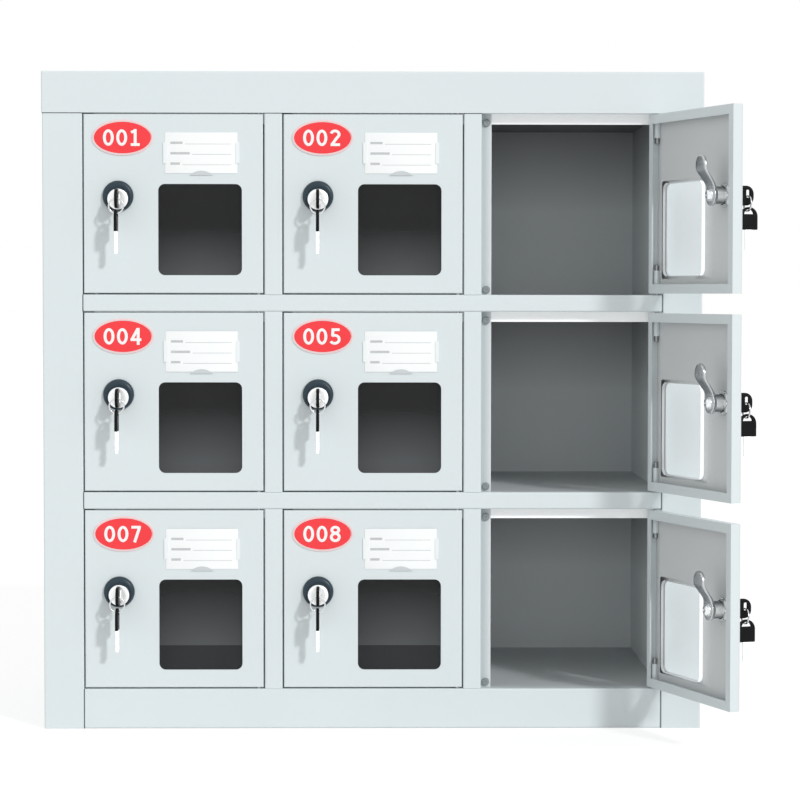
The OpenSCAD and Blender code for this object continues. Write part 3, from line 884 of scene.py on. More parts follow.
# The groove's darker red is painted shade
plate_groove_painted_shade = grained(
    "red plate groove with painted shade", (0.45, 0.020, 0.030), (0.41, 0.018, 0.027), 0.4, 0.5, 0.004, patch_size=0.02)
plate_rim = grained(
    "pale plate rim", (0.91, 0.64, 0.64), (0.87, 0.60, 0.60), 0.32, 0.5, 0.004, patch_size=0.02)
figure_white = grained(
    "white figures", (0.93, 0.93, 0.92), (0.90, 0.89, 0.88), 0.35, 0.4, 0.004, patch_size=0.01)
card_paper = grained(
    "card paper", (0.95, 0.97, 0.97), (0.92, 0.94, 0.945), 0.8, 0.18, 0.008, patch_size=0.03)
print_ink = grained(
    "grey print", (0.52, 0.54, 0.55), (0.62, 0.64, 0.65), 0.8, 0.12, 0.002, patch_size=0.003)
joint_shade = grained(
    "joint between sheets", (0.07, 0.075, 0.08), (0.05, 0.055, 0.06), 0.8, 0.5, 0.002)
print("finishes", len(bpy.data.materials))

# %% [markdown]
# ### The window panes
# A pane is clear acrylic with a smoked front. The smoke is so dense that the dim view that comes
# through it is painted on it, with painted light and shade: a back wall that is dark at the top and
# paler below, darker towards the sides, and in the lowest row the edge of the floor. From behind it
# is hardly seen. The shader's alpha says how much of a face hides what is behind it. The polished
# edge on the lock side is white with a painted glow, and the flange and the back of the block glow a
# little too, as painted light.

# %% Pane finishes
# Painted shade and light of the view behind a window, and its painted floor
VIEW_PAINTED_SHADE = (0.0080, 0.0082, 0.0085)
VIEW_PAINTED_LIGHT = (0.075, 0.0805, 0.084)
VIEW_PAINTED_FLOOR = (0.020, 0.0225, 0.0245)
# For the upper, middle and lower row: where the painted shade of the wall begins, where the painted
# wall is brightest and where the painted floor begins, as shares of the window's height
ROW_VIEWS = ((0.53, 0.0, -1.0), (0.72, 0.13, -1.0), (0.92, 0.27, 0.27))
FILM_ALPHA = 0.97
CLEAR_ALPHA = 0.04
HAZE_ALPHA = 0.12
RIM_ALPHA = 0.5
# The glows of the flange, the back and the edge are painted light
FLANGE_GLOW = 0.4
BACK_GLOW = 1.0
EDGE_GLOW = 0.6
GLOW_TINT = (0.93, 0.97, 1.0, 1)
ACRYLIC = {"IOR": 1.49, "Specular_IOR_Level": 0.15}


def pane_material(name, tint, alpha, rough, glow=0.0):
    """An acrylic finish with slow lighter patches, as clear as its alpha says."""
    patch = tuple(min(1.1 * v, 1) for v in tint)
    return grained(name, tint, patch, rough, 3.0, 0.0005, patch_size=0.03, Alpha=alpha,
                   Emission_Color=GLOW_TINT, Emission_Strength=glow, **ACRYLIC)


def film_material(row):
    """The smoked front of a row's windows, painted with the dim view, nearly clear from behind."""
    dark_above, bright_below, floor_line = ROW_VIEWS[row]
    material, tree, shader = new_material(f"smoked face with painted view {row + 1}", Roughness=0.12, **ACRYLIC)
    view = use_group(tree, WINDOW_PAINTED_VIEW, {
        "Dark Above": dark_above, "Bright Below": bright_below, "Floor Line": floor_line,
        "Dark": (*VIEW_PAINTED_SHADE, 1), "Bright": (*VIEW_PAINTED_LIGHT, 1), "Floor": (*VIEW_PAINTED_FLOOR, 1)})
    tree.links.new(view.outputs["Colour"], shader.inputs["Base Color"])
    behind = add_node(tree, "ShaderNodeNewGeometry").outputs["Backfacing"]
    less = add_math(tree, "MULTIPLY", behind, CLEAR_ALPHA - FILM_ALPHA)
    tree.links.new(add_math(tree, "ADD", less, FILM_ALPHA), shader.inputs["Alpha"])
    return material


films = [film_material(row) for row in range(len(ROW_VIEWS))]
# The flange's and back's glow and the edge's white glow are painted light
pane_clear = pane_material("acrylic flange with painted glow", (0.78, 0.81, 0.82), CLEAR_ALPHA, 0.06, FLANGE_GLOW)
pane_haze = pane_material("acrylic back with painted glow", (0.84, 0.87, 0.88), HAZE_ALPHA, 0.06, BACK_GLOW)
pane_edge_painted_highlight = pane_material("acrylic edge with painted highlight", (0.93, 0.95, 0.96), 1.0, 0.2, EDGE_GLOW)
pane_rim = pane_material("acrylic rim", (0.80, 0.84, 0.85), RIM_ALPHA, 0.2)
print("panes, alpha", FILM_ALPHA, "in front and", CLEAR_ALPHA, "behind")

# %% [markdown]
# ## Paint the construction
# The sheets and the door pans are right as they are, so they stay and only take their finish.
# Their points are never moved.

# %% Paint the CAD nodes
SHEETS = (
    "top_cap", "ceiling_panel", "left_side", "right_side", "back_panel", "base_plinth", "shelf_upper",
    "shelf_lower", "divider_left", "divider_right")


def paint(node, material):
    """Gives a CAD node one material."""
    data = frame["nodes"][node].data
    data.materials.clear()
    data.materials.append(material)


for node in SHEETS:
    paint(node, cabinet_coat_with_painted_shade)
paint("lock_side_stops", side_strip_painted_shade_and_highlight)
paint("top_stops", top_strip_painted_light)
for n in DOORS:
    paint(f"door_{n}", open_door_coat_with_painted_shade if n in OPEN_DOORS else door_paint)
print("painted", len(SHEETS), "sheets, the stop strips and", len(DOORS), "doors")

# %% [markdown]
# ## Things that repeat
# Rubber bumpers, hinge pins and the turns of a thread are one shape at many points. A Geometry
# Nodes tree puts an instance on each point, makes the instances real and sets the material. The
# result is turned into one plain mesh, because instances don't survive an export.

# %% Repeat tree
def new_geometry_tree(name, inputs):
    """A geometry tree with named inputs, its first input and its output being geometry."""
    tree = bpy.data.node_groups.new(name, "GeometryNodeTree")
    tree.interface.new_socket("Geometry", in_out="INPUT", socket_type="NodeSocketGeometry")
    for label, kind in inputs:
        tree.interface.new_socket(label, in_out="INPUT", socket_type=kind)
    tree.interface.new_socket("Geometry", in_out="OUTPUT", socket_type="NodeSocketGeometry")
    start = add_node(tree, "NodeGroupInput")
    end = add_node(tree, "NodeGroupOutput")
    return tree, start.outputs, end.inputs[0]


def close_tree(tree, geometry, material, end):
    """Ends a tree in Realize Instances and Set Material."""
    real = add_node(tree, "GeometryNodeRealizeInstances")
    coloured = add_node(tree, "GeometryNodeSetMaterial")
    tree.links.new(geometry, real.inputs[0])
    tree.links.new(real.outputs[0], coloured.inputs["Geometry"])
    tree.links.new(material, coloured.inputs["Material"])
    tree.links.new(coloured.outputs[0], end)


def repeat_tree():
    """Puts a copy of one piece on every point."""
    tree, given, end = new_geometry_tree(
        "repeat on points", [("Piece", "NodeSocketObject"), ("Material", "NodeSocketMaterial")])
    info = add_node(tree, "GeometryNodeObjectInfo")
    tree.links.new(given["Piece"], info.inputs["Object"])
    place = add_node(tree, "GeometryNodeInstanceOnPoints")
    tree.links.new(given["Geometry"], place.inputs["Points"])
    tree.links.new(info.outputs["Geometry"], place.inputs["Instance"])
    close_tree(tree, place.outputs[0], given["Material"], end)
    return tree


def run_tree(name, tree, start, values):
    """Runs a tree on a mesh and returns the plain mesh that comes out."""
    source = bpy.data.objects.new(name, start)
    scene.collection.objects.link(source)
    modifier = source.modifiers.new(name, "NODES")
    modifier.node_group = tree
    for item in tree.interface.items_tree:
        if item.in_out == "INPUT" and item.name in values:
            modifier[item.identifier] = values[item.name]
    graph = bpy.context.evaluated_depsgraph_get()
    made = bpy.data.meshes.new_from_object(source.evaluated_get(graph))
    bpy.data.objects.remove(source)
    made.set_sharp_from_angle(angle=SMOOTH_ANGLE)
    return made


def points_mesh(name, points):
    """A mesh of loose points."""
    mesh = bpy.data.meshes.new(name)
    mesh.from_pydata([tuple(p) for p in points], [], [])
    return mesh


def repeated(name, mesh, points, material):
    """One mesh with a copy of a mesh at each point."""
    original = bpy.data.objects.new(name + " original", mesh)
    scene.collection.objects.link(original)
    made = run_tree(name, REPEAT, points_mesh(name, points), {"Piece": original, "Material": material})
    bpy.data.objects.remove(original)
    return made


REPEAT = repeat_tree()
print("tree", REPEAT.name)

# %% [markdown]
# ### Bumpers and hinge pins
# Two rubber buttons cushion the free edge of each door: one near the bottom of the lock-side stop
# and one just under its top. Each opening has two short pins, one from below and one from above,
# that run in the barrels of the door. Their ends are chamfered, as cut wire is.

# %% Bumpers
BUMPER_D = 5.8
BUMPER_FRONT = 8.35
BUMPER_BACK = 10.4
BUMPER_X = 3.9
BUMPER_LOW = 3.9
BUMPER_DROP = 6.8
BUMPER_ROUND = 0.8
DIMPLE_R = 0.9
DIMPLE_DEPTH = 0.3
SMALL_STEPS = 32


def bumper_shape():
    """A button with a rounded front rim and a small dimple in the middle."""
    radius = BUMPER_D / 2
    core = radius - BUMPER_ROUND
    rim = [(core + BUMPER_ROUND * math.cos(a), BUMPER_FRONT + BUMPER_ROUND * (1 - math.sin(a)))
           for a in map(math.radians, (0, 30, 60, 90))]
    dimple = [(DIMPLE_R, BUMPER_FRONT), (DIMPLE_R - DIMPLE_DEPTH, BUMPER_FRONT + DIMPLE_DEPTH)]
    return skin("bumper", lathe([(radius, BUMPER_BACK), *rim, *dimple], SMALL_STEPS))


bumper_points = [Vector((BUMPER_X, 0, z)) for z in (BUMPER_LOW, OPENING_H - BUMPER_DROP)]
bumper_pair = repeated("bumper pair", bumper_shape(), bumper_points, rubber)
corners = [opening_frame(n).translation / MM for n in DOORS]
bumpers = repeated("door bumpers", bumper_pair, corners, rubber)
add_piece("rubber_bumpers", bumpers, Matrix.Scale(MM, 4), "cabinet", [rubber],
          ["door_bumpers"])
print("bumpers", len(bumpers.vertices), "points")

# %% Hinge pins
PIN_D = 3.0
PIN_LENGTH = 27.9
PIN_SEAT = 5.0
PIN_CHAMFER = 0.4


def pin_shape():
    """A short pin along z with chamfered ends."""
    radius = PIN_D / 2
    sizes = [(0, radius - PIN_CHAMFER), (PIN_CHAMFER, radius),
             (PIN_LENGTH - PIN_CHAMFER, radius), (PIN_LENGTH, radius - PIN_CHAMFER)]
    return skin("hinge pin", [
        [Vector((r * math.cos(a), r * math.sin(a), z)) for a in angles(SMALL_STEPS)] for z, r in sizes])


pin_points = [Vector((PIN.x, PIN.y, z)) for z in (-PIN_SEAT, OPENING_H + PIN_SEAT - PIN_LENGTH)]
pin_pair = repeated("pin pair", pin_shape(), pin_points, pin_steel)
pins = repeated("hinge pins", pin_pair, corners, pin_steel)
add_piece("wire_hinge_pins", pins, Matrix.Scale(MM, 4), "cabinet", [pin_steel], ["hinge_pins"])
print("pins", len(pins.vertices), "points")

# %% [markdown]
# ## Window panes
# From behind, the pane of an open door is a thick block of acrylic behind the cut-out, with a wide
# thin flange glued to the sheet. Each is an outline with rounded edges. The front is smoked, one
# side of the block is the polished edge with a painted highlight, and the rest is clear or hazy. The
# mesh carries a map of its own, 0 to 1 over the window, for the painted dim view on the front.

# %% Window panes
WINDOW = (57.3, 14.6, 120.5, 83.5)
WINDOW_R = 5.0
FLANGE = (44.3, 12.0, 128.5, 86.1)
FLANGE_R = 2.0
FLANGE_T = 0.7
FLANGE_EDGE = 0.1
BLOCK_MARGIN = 0.6
BLOCK_BACK = 4.0
BLOCK_EDGE = 0.25
FRONT_MARGIN = 0.01
BACK_MARGIN = 0.1


def pane_finish(face):
    """The finish of a face: 0 smoked front, 1 flange, 2 edge with a painted highlight, 3 other edges, 4 back.
    """
    depth = face.center.y
    if abs(face.normal.y) < 0.9 and depth > SHEET_T + FLANGE_T:
        return 2 if face.normal.x < -0.3 else 3
    if depth < SHEET_T + FRONT_MARGIN:
        return 0
    return 4 if depth > BLOCK_BACK - BACK_MARGIN else 1


def pane_shape():
    """The flange and the block behind the window."""
    left, bottom, right, top = WINDOW
    outline = rounded_box(
        left - BLOCK_MARGIN, bottom - BLOCK_MARGIN, right + BLOCK_MARGIN, top + BLOCK_MARGIN,
        WINDOW_R + BLOCK_MARGIN)
    block = flat_outline("pane block", [outline], BLOCK_BACK - SHEET_T - FLANGE_T, BLOCK_EDGE)
    flange = flat_outline("pane flange", [rounded_box(*FLANGE, FLANGE_R, 4)], FLANGE_T, FLANGE_EDGE, 1)
    turned(flange, Matrix.Translation((0, SHEET_T + FLANGE_T / 2, 0)) @ STAND_UP)
    turned(block, Matrix.Translation((0, (SHEET_T + FLANGE_T + BLOCK_BACK) / 2, 0)) @ STAND_UP)
    mesh = joined("window pane", [flange, block])
    for face in mesh.polygons:
        face.material_index = pane_finish(face)
    view_map = mesh.uv_layers.new(name="window")
    for corner in mesh.loops:
        x, _, z = mesh.vertices[corner.vertex_index].co
        view_map.data[corner.index].uv = ((x - left) / (right - left), (z - bottom) / (top - bottom))
    return mesh


pane = pane_shape()
for n in DOORS:
    add_piece(f"window_pane_{n}", pane, door_frame(n), f"leaf_{n}",
              [films[(n - 1) // 3], pane_clear, pane_edge_painted_highlight, pane_rim, pane_haze],
              [f"window_{n}"])
print("panes", len(pane.polygons), "faces each")

# %% [markdown]
# ## Number plates
# A number plate is a thin oval of red plastic with a soft dome, a pale rim and raised white
# figures. The dome is a stack of ever smaller ovals. Each figure is made of a few bold strokes:
# a stroke is a line of points given an even width, or an oval ring. Where two strokes cross, one
# lies a hair above the other, so that no two faces share a plane.

# %% Number plate
PLATE_W = 46.2
PLATE_H = 26.9
PLATE_AT = Vector((30.5, 0, 118.3))
PLATE_RIM = 1.0
PLATE_GROOVE = 0.5
PLATE_T = 0.98


def plate_shape():
    """The domed oval, with its rim as material 0, its field as 1 and the groove between them, darker with
    painted shade, as 2.
    """
    half_w, half_h = PLATE_W / 2, PLATE_H / 2
    steps = [(0, 0.0), (0, 0.55), (0.1, 0.78), (0.5, 0.86), (PLATE_RIM, 0.87), (PLATE_RIM + 0.15, 0.83),
             (PLATE_RIM + PLATE_GROOVE, 0.85), (5.0, 0.93), (9.0, PLATE_T)]
    rings = [oval_ring(half_w - inset, half_h - inset, -y) for inset, y in steps]
    mesh = skin("number plate", rings)
    for face in mesh.polygons:
        x, _, z = face.center
        share = math.hypot(x / (half_w - PLATE_RIM), z / (half_h - PLATE_RIM))
        inner = math.hypot(x / (half_w - PLATE_RIM - PLATE_GROOVE), z / (half_h - PLATE_RIM - PLATE_GROOVE))
        face.material_index = 0 if share > 1 else (2 if inner > 1 else 1)
    return mesh


plate = plate_shape()
print("plate", len(plate.polygons), "faces")

# %% Figures
FIGURE_W = 8.7
FIGURE_GRID_H = 13.8
FIGURE_H = 12.8
FIGURE_PITCH = 10.1
FIGURE_SHIFT = -0.5
FIGURE_T = 0.5
FIGURE_EDGE = 0.12
STROKE = 2.25
STROKE_LIFT = 0.02


def bow(x, y, half_w, half_h, start, end, steps=20):
    """Points along an ellipse from one angle to another, in degrees."""
    return [(x + half_w * (px - x), y + half_h * (py - y)) for px, py in arc(x, y, 1, start, end, steps)]


def line_stroke(points):
    """The outline of a line of points with an even width and square ends."""
    left = []
    right = []
    for i, point in enumerate(points):
        before = Vector(points[max(i - 1, 0)])
        after = Vector(points[min(i + 1, len(points) - 1)])
        along = (after - before).normalized()
        across = Vector((-along.y, along.x)) * STROKE / 2
        left.append(tuple(Vector(point) + across))
        right.append(tuple(Vector(point) - across))
    return [left + right[::-1]]


def ring_stroke(x, y, half_w, half_h):
    """The two outlines of an oval ring, given to the middle of its stroke."""
    return [bow(x, y, half_w + side, half_h + side, 0, 350, 35) for side in (STROKE / 2, -STROKE / 2)]


SIX = [ring_stroke(4.35, 4.4, 3.0, 3.05), line_stroke(bow(6.9, 4.4, 5.55, 8.0, 180, 92))]
FIGURES = [
    [ring_stroke(4.35, 6.9, 3.0, 5.55)],
    [line_stroke([(4.4, 0), (4.4, 13.8)]), line_stroke([(4.4, 12.4), (1.3, 11.1)]),
     line_stroke([(1.0, 1.2), (7.8, 1.2)])],
    [line_stroke(bow(4.2, 9.7, 3.0, 2.85, 165, -25) + [(5.2, 6.4), (2.2, 2.0)]),
     line_stroke([(0.8, 1.35), (8.0, 1.35)])],
    [line_stroke(bow(4.0, 9.9, 2.9, 2.6, 150, -90)), line_stroke(bow(4.0, 4.4, 3.3, 3.1, 90, -150))],
    [line_stroke([(5.9, 13.0), (1.5, 4.4)]), line_stroke([(0.4, 4.2), (8.6, 4.2)]),
     line_stroke([(6.2, 0), (6.2, 13.8)])],
    [line_stroke([(1.5, 12.45), (7.7, 12.45)]), line_stroke([(2.6, 12.6), (2.3, 7.0)]),
     line_stroke(bow(3.9, 4.6, 3.4, 3.3, 125, -150))],
    SIX,
    [line_stroke([(0.6, 12.45), (7.8, 12.45)]), line_stroke([(6.9, 12.6), (3.0, 0)])],
    [ring_stroke(4.35, 10.1, 2.6, 2.35), ring_stroke(4.35, 4.3, 3.0, 2.95)],
    [[[(FIGURE_W - x, FIGURE_GRID_H - y) for x, y in loop] for loop in stroke] for stroke in SIX]]


def figures_shape(number):
    """Three raised figures, centred on the plate."""
    parts = []
    to_height = Matrix.Diagonal((1, FIGURE_H / FIGURE_GRID_H, 1, 1))
    for place, digit in enumerate(f"{number:03d}"):
        left = FIGURE_SHIFT + (place - 1) * FIGURE_PITCH - FIGURE_W / 2
        for layer, stroke in enumerate(FIGURES[int(digit)]):
            part = flat_outline("figure stroke", stroke, FIGURE_T, FIGURE_EDGE, 2)
            at_place = Matrix.Translation((left, -FIGURE_H / 2, PLATE_T + STROKE_LIFT * layer))
            parts.append(turned(part, STAND_UP @ at_place @ to_height))
    return joined("figures", parts, one_finish=True)


for n in DOORS:
    at_plate = door_frame(n) @ Matrix.Translation(PLATE_AT)
    add_piece(f"number_plate_{n}", plate, at_plate, f"leaf_{n}", [plate_rim, plate_red, plate_groove_painted_shade])
    add_piece(f"number_figures_{n}", figures_shape(n), at_plate, f"leaf_{n}", [figure_white])
print("plates with the numbers 001 to", f"{DOORS[-1]:03d}")

# %% [markdown]
# ## Name cards
# A white card sits under two side clips and a round clip that are pressed out of the door. Where a
# maker would print words there are only plain bars and three ruled lines to write on. The bars
# differ only in place and length, so a tree scales one thin bar on each point by the length that
# the point carries.

# %% Card print tree
BAR_T = 0.02


def print_tree():
    """A thin bar on each point, as long and as high as the point says."""
    tree, given, end = new_geometry_tree("printed bars", [("Material", "NodeSocketMaterial")])
    cube = add_node(tree, "GeometryNodeMeshCube")
    size = add_node(tree, "GeometryNodeInputNamedAttribute", data_type="FLOAT_VECTOR")
    size.inputs["Name"].default_value = "size"
    place = add_node(tree, "GeometryNodeInstanceOnPoints")
    tree.links.new(given["Geometry"], place.inputs["Points"])
    tree.links.new(cube.outputs["Mesh"], place.inputs["Instance"])
    tree.links.new(size.outputs["Attribute"], place.inputs["Scale"])
    close_tree(tree, place.outputs[0], given["Material"], end)
    return tree


PRINT = print_tree()
print("tree", PRINT.name)

# %% Name cards
CARD_W = 54.6
CARD_H = 30.7
CARD_AT = Vector((62.6, 0, 91.5))
CARD_R = 0.5
CARD_EDGE = 0.04
CARD_BACK = 0.03
CARD_FRONT = 0.39
ROW_RIGHT = 50.0
ROW_HEIGHTS = (22.1, 14.2, 6.4)
CAPTION_LEFT = 4.0
CAPTION_LENGTHS = (9.2, 14.6, 7.2)
CAPTION_H = 1.8
CAPTION_GAP = 1.9
RULE_H = 0.4
CLIP_REACH = 4.0
THUMB_HALF = 10.0
THUMB_TOP = 3.0


def card_print():
    """Three plain bars, each with a ruled line after it."""
    middles = []
    sizes = []
    for height, length in zip(ROW_HEIGHTS, CAPTION_LENGTHS):
        rule_left = CAPTION_LEFT + length + CAPTION_GAP
        for left, right, tall, lift in (
                (CAPTION_LEFT, CAPTION_LEFT + length, CAPTION_H, CAPTION_H / 2),
                (rule_left, ROW_RIGHT, RULE_H, 0)):
            middles.append(((left + right) / 2, -CARD_FRONT, height + lift))
            sizes.append((right - left, 2 * BAR_T, tall))
    points = points_mesh("card print", middles)
    attribute = points.attributes.new("size", "FLOAT_VECTOR", "POINT")
    attribute.data.foreach_set("vector", [v for size in sizes for v in size])
    return run_tree("card print", PRINT, points, {"Material": print_ink})


def card_shape():
    """The sheet of card with slightly rounded corners."""
    outline = [rounded_box(0, 0, CARD_W, CARD_H, CARD_R, 3)]
    mesh = flat_outline("name card", outline, CARD_FRONT - CARD_BACK, CARD_EDGE, 1)
    return turned(mesh, Matrix.Translation((0, -(CARD_BACK + CARD_FRONT) / 2, 0)) @ STAND_UP)


def paint_clips(n, at_card):
    """Gives the side clips of a door a paler coat as a painted highlight and the round clip a greyer one as
    painted shade.
    """
    data = frame["nodes"][f"door_{n}"].data
    data.materials.append(clip_painted_highlight)
    data.materials.append(thumb_painted_shade)
    to_card = at_card.inverted()
    for face in data.polygons:
        x, y, z = to_card @ face.center
        near = -CLIP_REACH < x < CARD_W + CLIP_REACH and -CLIP_REACH < z < CARD_H + CLIP_REACH
        if near and y < -CARD_BACK:
            on_thumb = z < THUMB_TOP and abs(x - CARD_W / 2) < THUMB_HALF
            face.material_index = 2 if on_thumb else 1


card = joined("name card", [card_shape(), card_print()])
for n in DOORS:
    at_card = door_frame(n) @ Matrix.Translation(CARD_AT)
    add_piece(f"name_card_{n}", card, at_card, f"leaf_{n}", [card_paper, print_ink])
    paint_clips(n, at_card)
print("cards", len(card.polygons), "faces each")

# %% [markdown]
# ## Joints between the sheets
# Where the rails and the plinth meet the posts, and where the cap meets the posts and dividers, the
# photograph shows a thin dark line. Each is a strip with the colour of a narrow gap, let into the
# front so that only a hair of it stands out.

# %% Joint lines
JOINT_W = 0.6
JOINT_PROUD = 0.02
JOINT_DEPTH = 0.2


def front_strip(left, right, low, high):
    """A thin box on the front of the frame, in millimetres."""
    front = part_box("left_side")[0].y / MM
    corners_of = ((left, low), (right, low), (right, high), (left, high))
    return skin("joint line", [
        [Vector((x, front + y, z)) for x, z in corners_of] for y in (-JOINT_PROUD, JOINT_DEPTH)])


def joint_lines():
    """The upright lines at both posts and the level ones under the cap."""
    post_left, post_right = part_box("left_side")[0].x / MM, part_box("right_side")[1].x / MM
    starts = [opening_frame(n).translation.x / MM for n in (1, 2, 3)]
    floors = [opening_frame(n).translation.z / MM for n in (7, 4, 1)]
    left, right = starts[0], starts[2] + OPENING_W
    parts = []
    for low, high in zip([0] + [z + OPENING_H for z in floors[:2]], floors):
        parts.append(front_strip(left, left + JOINT_W, low, high))
        parts.append(front_strip(right - JOINT_W, right, low, high))
    top = floors[2] + OPENING_H
    gaps = [(post_left, left), (starts[0] + OPENING_W, starts[1]), (starts[1] + OPENING_W, starts[2]),
            (right, post_right)]
    parts += [front_strip(start, end, top - JOINT_W, top) for start, end in gaps]
    return joined("joint lines", parts, one_finish=True)


joint_mesh = joint_lines()
add_piece("sheet_joint_lines", joint_mesh, Matrix.Scale(MM, 4), "cabinet", [joint_shade])
print("joint lines", len(joint_mesh.polygons) // 6)

# %% [markdown]
# ## Lock bodies
# The bezel is a domed ring whose hole sits low in it, so it is wide above the plug and narrow
# below. Its rings slide from the outer circle to the inner one while they rise and fall, and then
# go on as the bore, the end of the barrel and its outside, back to where they began. The barrel
# fills its hole in the sheet and is slimmer behind it. The thread is one ridge repeated along the
# barrel, and the nut is a hexagon with a chamfered front on a round washer.

# %% Lock case
BEZEL_D = 23.4
BEZEL_RISE = 2.3
BEZEL_T = 4.0
BORE_D = 16.1
SHAFT_BORE_D = 11.1
FACE_SEAT = 0.8
COLLAR_D = 16.6
BARREL_D = 12.8
BARREL_END = 9.8
BARREL_CHAMFER = 0.4
THREAD_DEPTH = 0.15
# The play between neighbouring pieces of the lock
PLAY = 0.05


def bezel_ring(share, y):
    """A ring between the bezel's outer circle at share 0 and its bore at share 1."""
    outer, inner = BEZEL_D / 2, BORE_D / 2
    return circle_ring(outer + (inner - outer) * share, y, BEZEL_RISE * (1 - share))


def lock_case_shape():
    """Bezel and barrel as one closed skin."""
    front = [(0.0, 0.0), (0.0, -1.5), (0.05, -2.5), (0.16, -3.3), (0.32, -3.85), (0.5, -BEZEL_T),
             (0.72, -3.95), (0.9, -3.6), (1.0, -3.1), (1.0, -FACE_SEAT)]
    bore = SHAFT_BORE_D / 2
    core = BARREL_D / 2 - THREAD_DEPTH
    rest = [(bore, -FACE_SEAT), (bore, BARREL_END), (core - BARREL_CHAMFER, BARREL_END),
            (core, BARREL_END - BARREL_CHAMFER), (core, SHEET_T), (COLLAR_D / 2, SHEET_T),
            (COLLAR_D / 2, 0)]
    return skin("lock case", [bezel_ring(share, y) for share, y in front] + lathe(rest), closed=True)


case = lock_case_shape()
print("lock case", len(case.polygons), "faces")

# %% Thread and nut
THREAD_PITCH = 1.0
THREAD_FROM = 1.3
THREAD_SINK = 0.05
THREAD_ROOT = 0.3
CREST_HALF = 0.1
WASHER_D = 17.8
WASHER_T = 0.5
WASHER_CHAMFER = 0.2
NUT_AF = 14.6
NUT_T = 1.4
NUT_CHAMFER = 0.3
NUT_SINK_W = 0.5
NUT_SINK_H = 0.4
NUT_GAP = 0.02


def thread_shape():
    """One ridge of the thread, a ring with a blunt three-sided section."""
    crest = BARREL_D / 2
    core = crest - THREAD_DEPTH - THREAD_SINK
    half = THREAD_PITCH / 2
    section = [(core, -half), (crest, -CREST_HALF), (crest, CREST_HALF), (core, half),
               (core - THREAD_ROOT, 0)]
    return skin("thread ridge", lathe(section), closed=True)


def hexagon_ring(y, limit):
    """The outline of the nut at one depth, its corners cut back to a circle of the radius limit."""
    ring = []
    for a in angles():
        past_flat = a % (math.pi / 3) - math.pi / 6
        reach = min(NUT_AF / 2 / math.cos(past_flat), limit)
        ring.append(Vector((reach * math.cos(a), y, reach * math.sin(a))))
    return ring


def nut_shape():
    """A hexagon nut with its front corners turned away, a plain bore and a washer under it."""
    bore = BARREL_D / 2 + PLAY
    outer = WASHER_D / 2
    foot = SHEET_T + NUT_GAP
    top = foot + WASHER_T
    washer = skin("washer", lathe([
        (outer, foot), (outer, top - WASHER_CHAMFER), (outer - WASHER_CHAMFER, top), (bore, top),
        (bore, foot)]), closed=True)
    corner = NUT_AF / 2 / math.cos(math.pi / 6)
    y0 = top + NUT_GAP
    y1 = y0 + NUT_T
    outside = [hexagon_ring(y0, corner), hexagon_ring(y1 - NUT_CHAMFER, corner),
               hexagon_ring(y1, corner - 2 * NUT_CHAMFER)]
    inside = lathe([(bore + NUT_SINK_W, y1), (bore, y1 - NUT_SINK_H), (bore, y0)])
    hexagon = skin("hexagon", outside + inside, closed=True)
    return joined("lock nut", [hexagon, washer], one_finish=True)


ridge_count = int((BARREL_END - THREAD_FROM) / THREAD_PITCH)
ridge_points = [Vector((0, THREAD_FROM + THREAD_PITCH * (i + 0.5), 0)) for i in range(ridge_count)]
thread = repeated("thread", thread_shape(), ridge_points, barrel_metal_painted_reflections)
nut = nut_shape()
body_mesh = joined("lock body", [case, thread])
for face in body_mesh.polygons:
    face.material_index = 1 if face.center.y > 0 else 0
for n in DOORS:
    add_piece(f"lock_bezel_{n}", body_mesh, lock_frame(n), f"leaf_{n}", [slate, barrel_metal_painted_reflections],
              [f"lock_body_{n}"])
    add_piece(f"lock_nut_{n}", nut, lock_frame(n), f"leaf_{n}", [barrel_metal_painted_reflections])
print("thread ridges", ridge_count)

# %% [markdown]
# ## Plug, cam and screw
# The plug is a bright disc on a shaft. The rings of its face start at the edge of the keyway and
# open out to the rim, so the slot needs no cutting. The cam is a pressed steel arm: a row of
# rounded sections that follow an S from the plug out to the tip, with the outline of a round
# eye, a slimmer neck and a round end.

# %% Plug
PLUG_FACE = -4.4
FACE_D = 16.0
SHAFT_D = 11.0
CAM_Y = 10.2
TAIL_END = 12.85
TAIL_SIDE = 7.0
KEYWAY_W = 2.4
KEYWAY_H = 7.6
KEYWAY_END = 9.0
# The power that makes an oval ring all but square
SQUARE = 12


def plug_shape():
    """The plug with its keyway, face, shaft and square tail."""
    slot_w, slot_h = KEYWAY_W / 2, KEYWAY_H / 2
    face, shaft, tail = FACE_D / 2, SHAFT_D / 2, TAIL_SIDE / 2
    seat = -FACE_SEAT - PLAY
    keyway = [
        oval_ring(slot_w, slot_h, KEYWAY_END, 10), oval_ring(slot_w, slot_h, PLUG_FACE + 0.2, 10),
        oval_ring(slot_w + 0.2, slot_h + 0.2, PLUG_FACE + 0.02, 8)]
    body = lathe([
        (5.2, PLUG_FACE), (face - 0.8, PLUG_FACE + 0.03), (face - 0.25, PLUG_FACE + 0.2),
        (face, PLUG_FACE + 0.7), (face, seat), (shaft, seat), (shaft, CAM_Y)])
    square = [oval_ring(tail, tail, y, SQUARE) for y in (CAM_Y, TAIL_END)]
    return skin("lock plug", keyway + body + square)


plug = plug_shape()
print("plug", len(plug.polygons), "faces")

# %% Cam
CAM_REACH = 28.8
CAM_TIP_R = 7.7
CAM_NECK = 6.4
CAM_ROOT_R = 7.75
CAM_T = 2.6
CAM_CRANK = 8.2
CRANK_FROM = 4.5
CRANK_TO = 20.5
CAM_EDGE = 1.1
# The least thickness, as a share, and the least half width at both ends of the arm
CAM_LEAST = 0.02
CAM_SECTIONS = 56
SECTION_POINTS = 24


def ease(value, start, end):
    """A smooth step from 0 at start to 1 at end."""
    t = min(max((value - start) / (end - start), 0), 1)
    return t * t * (3 - 2 * t)


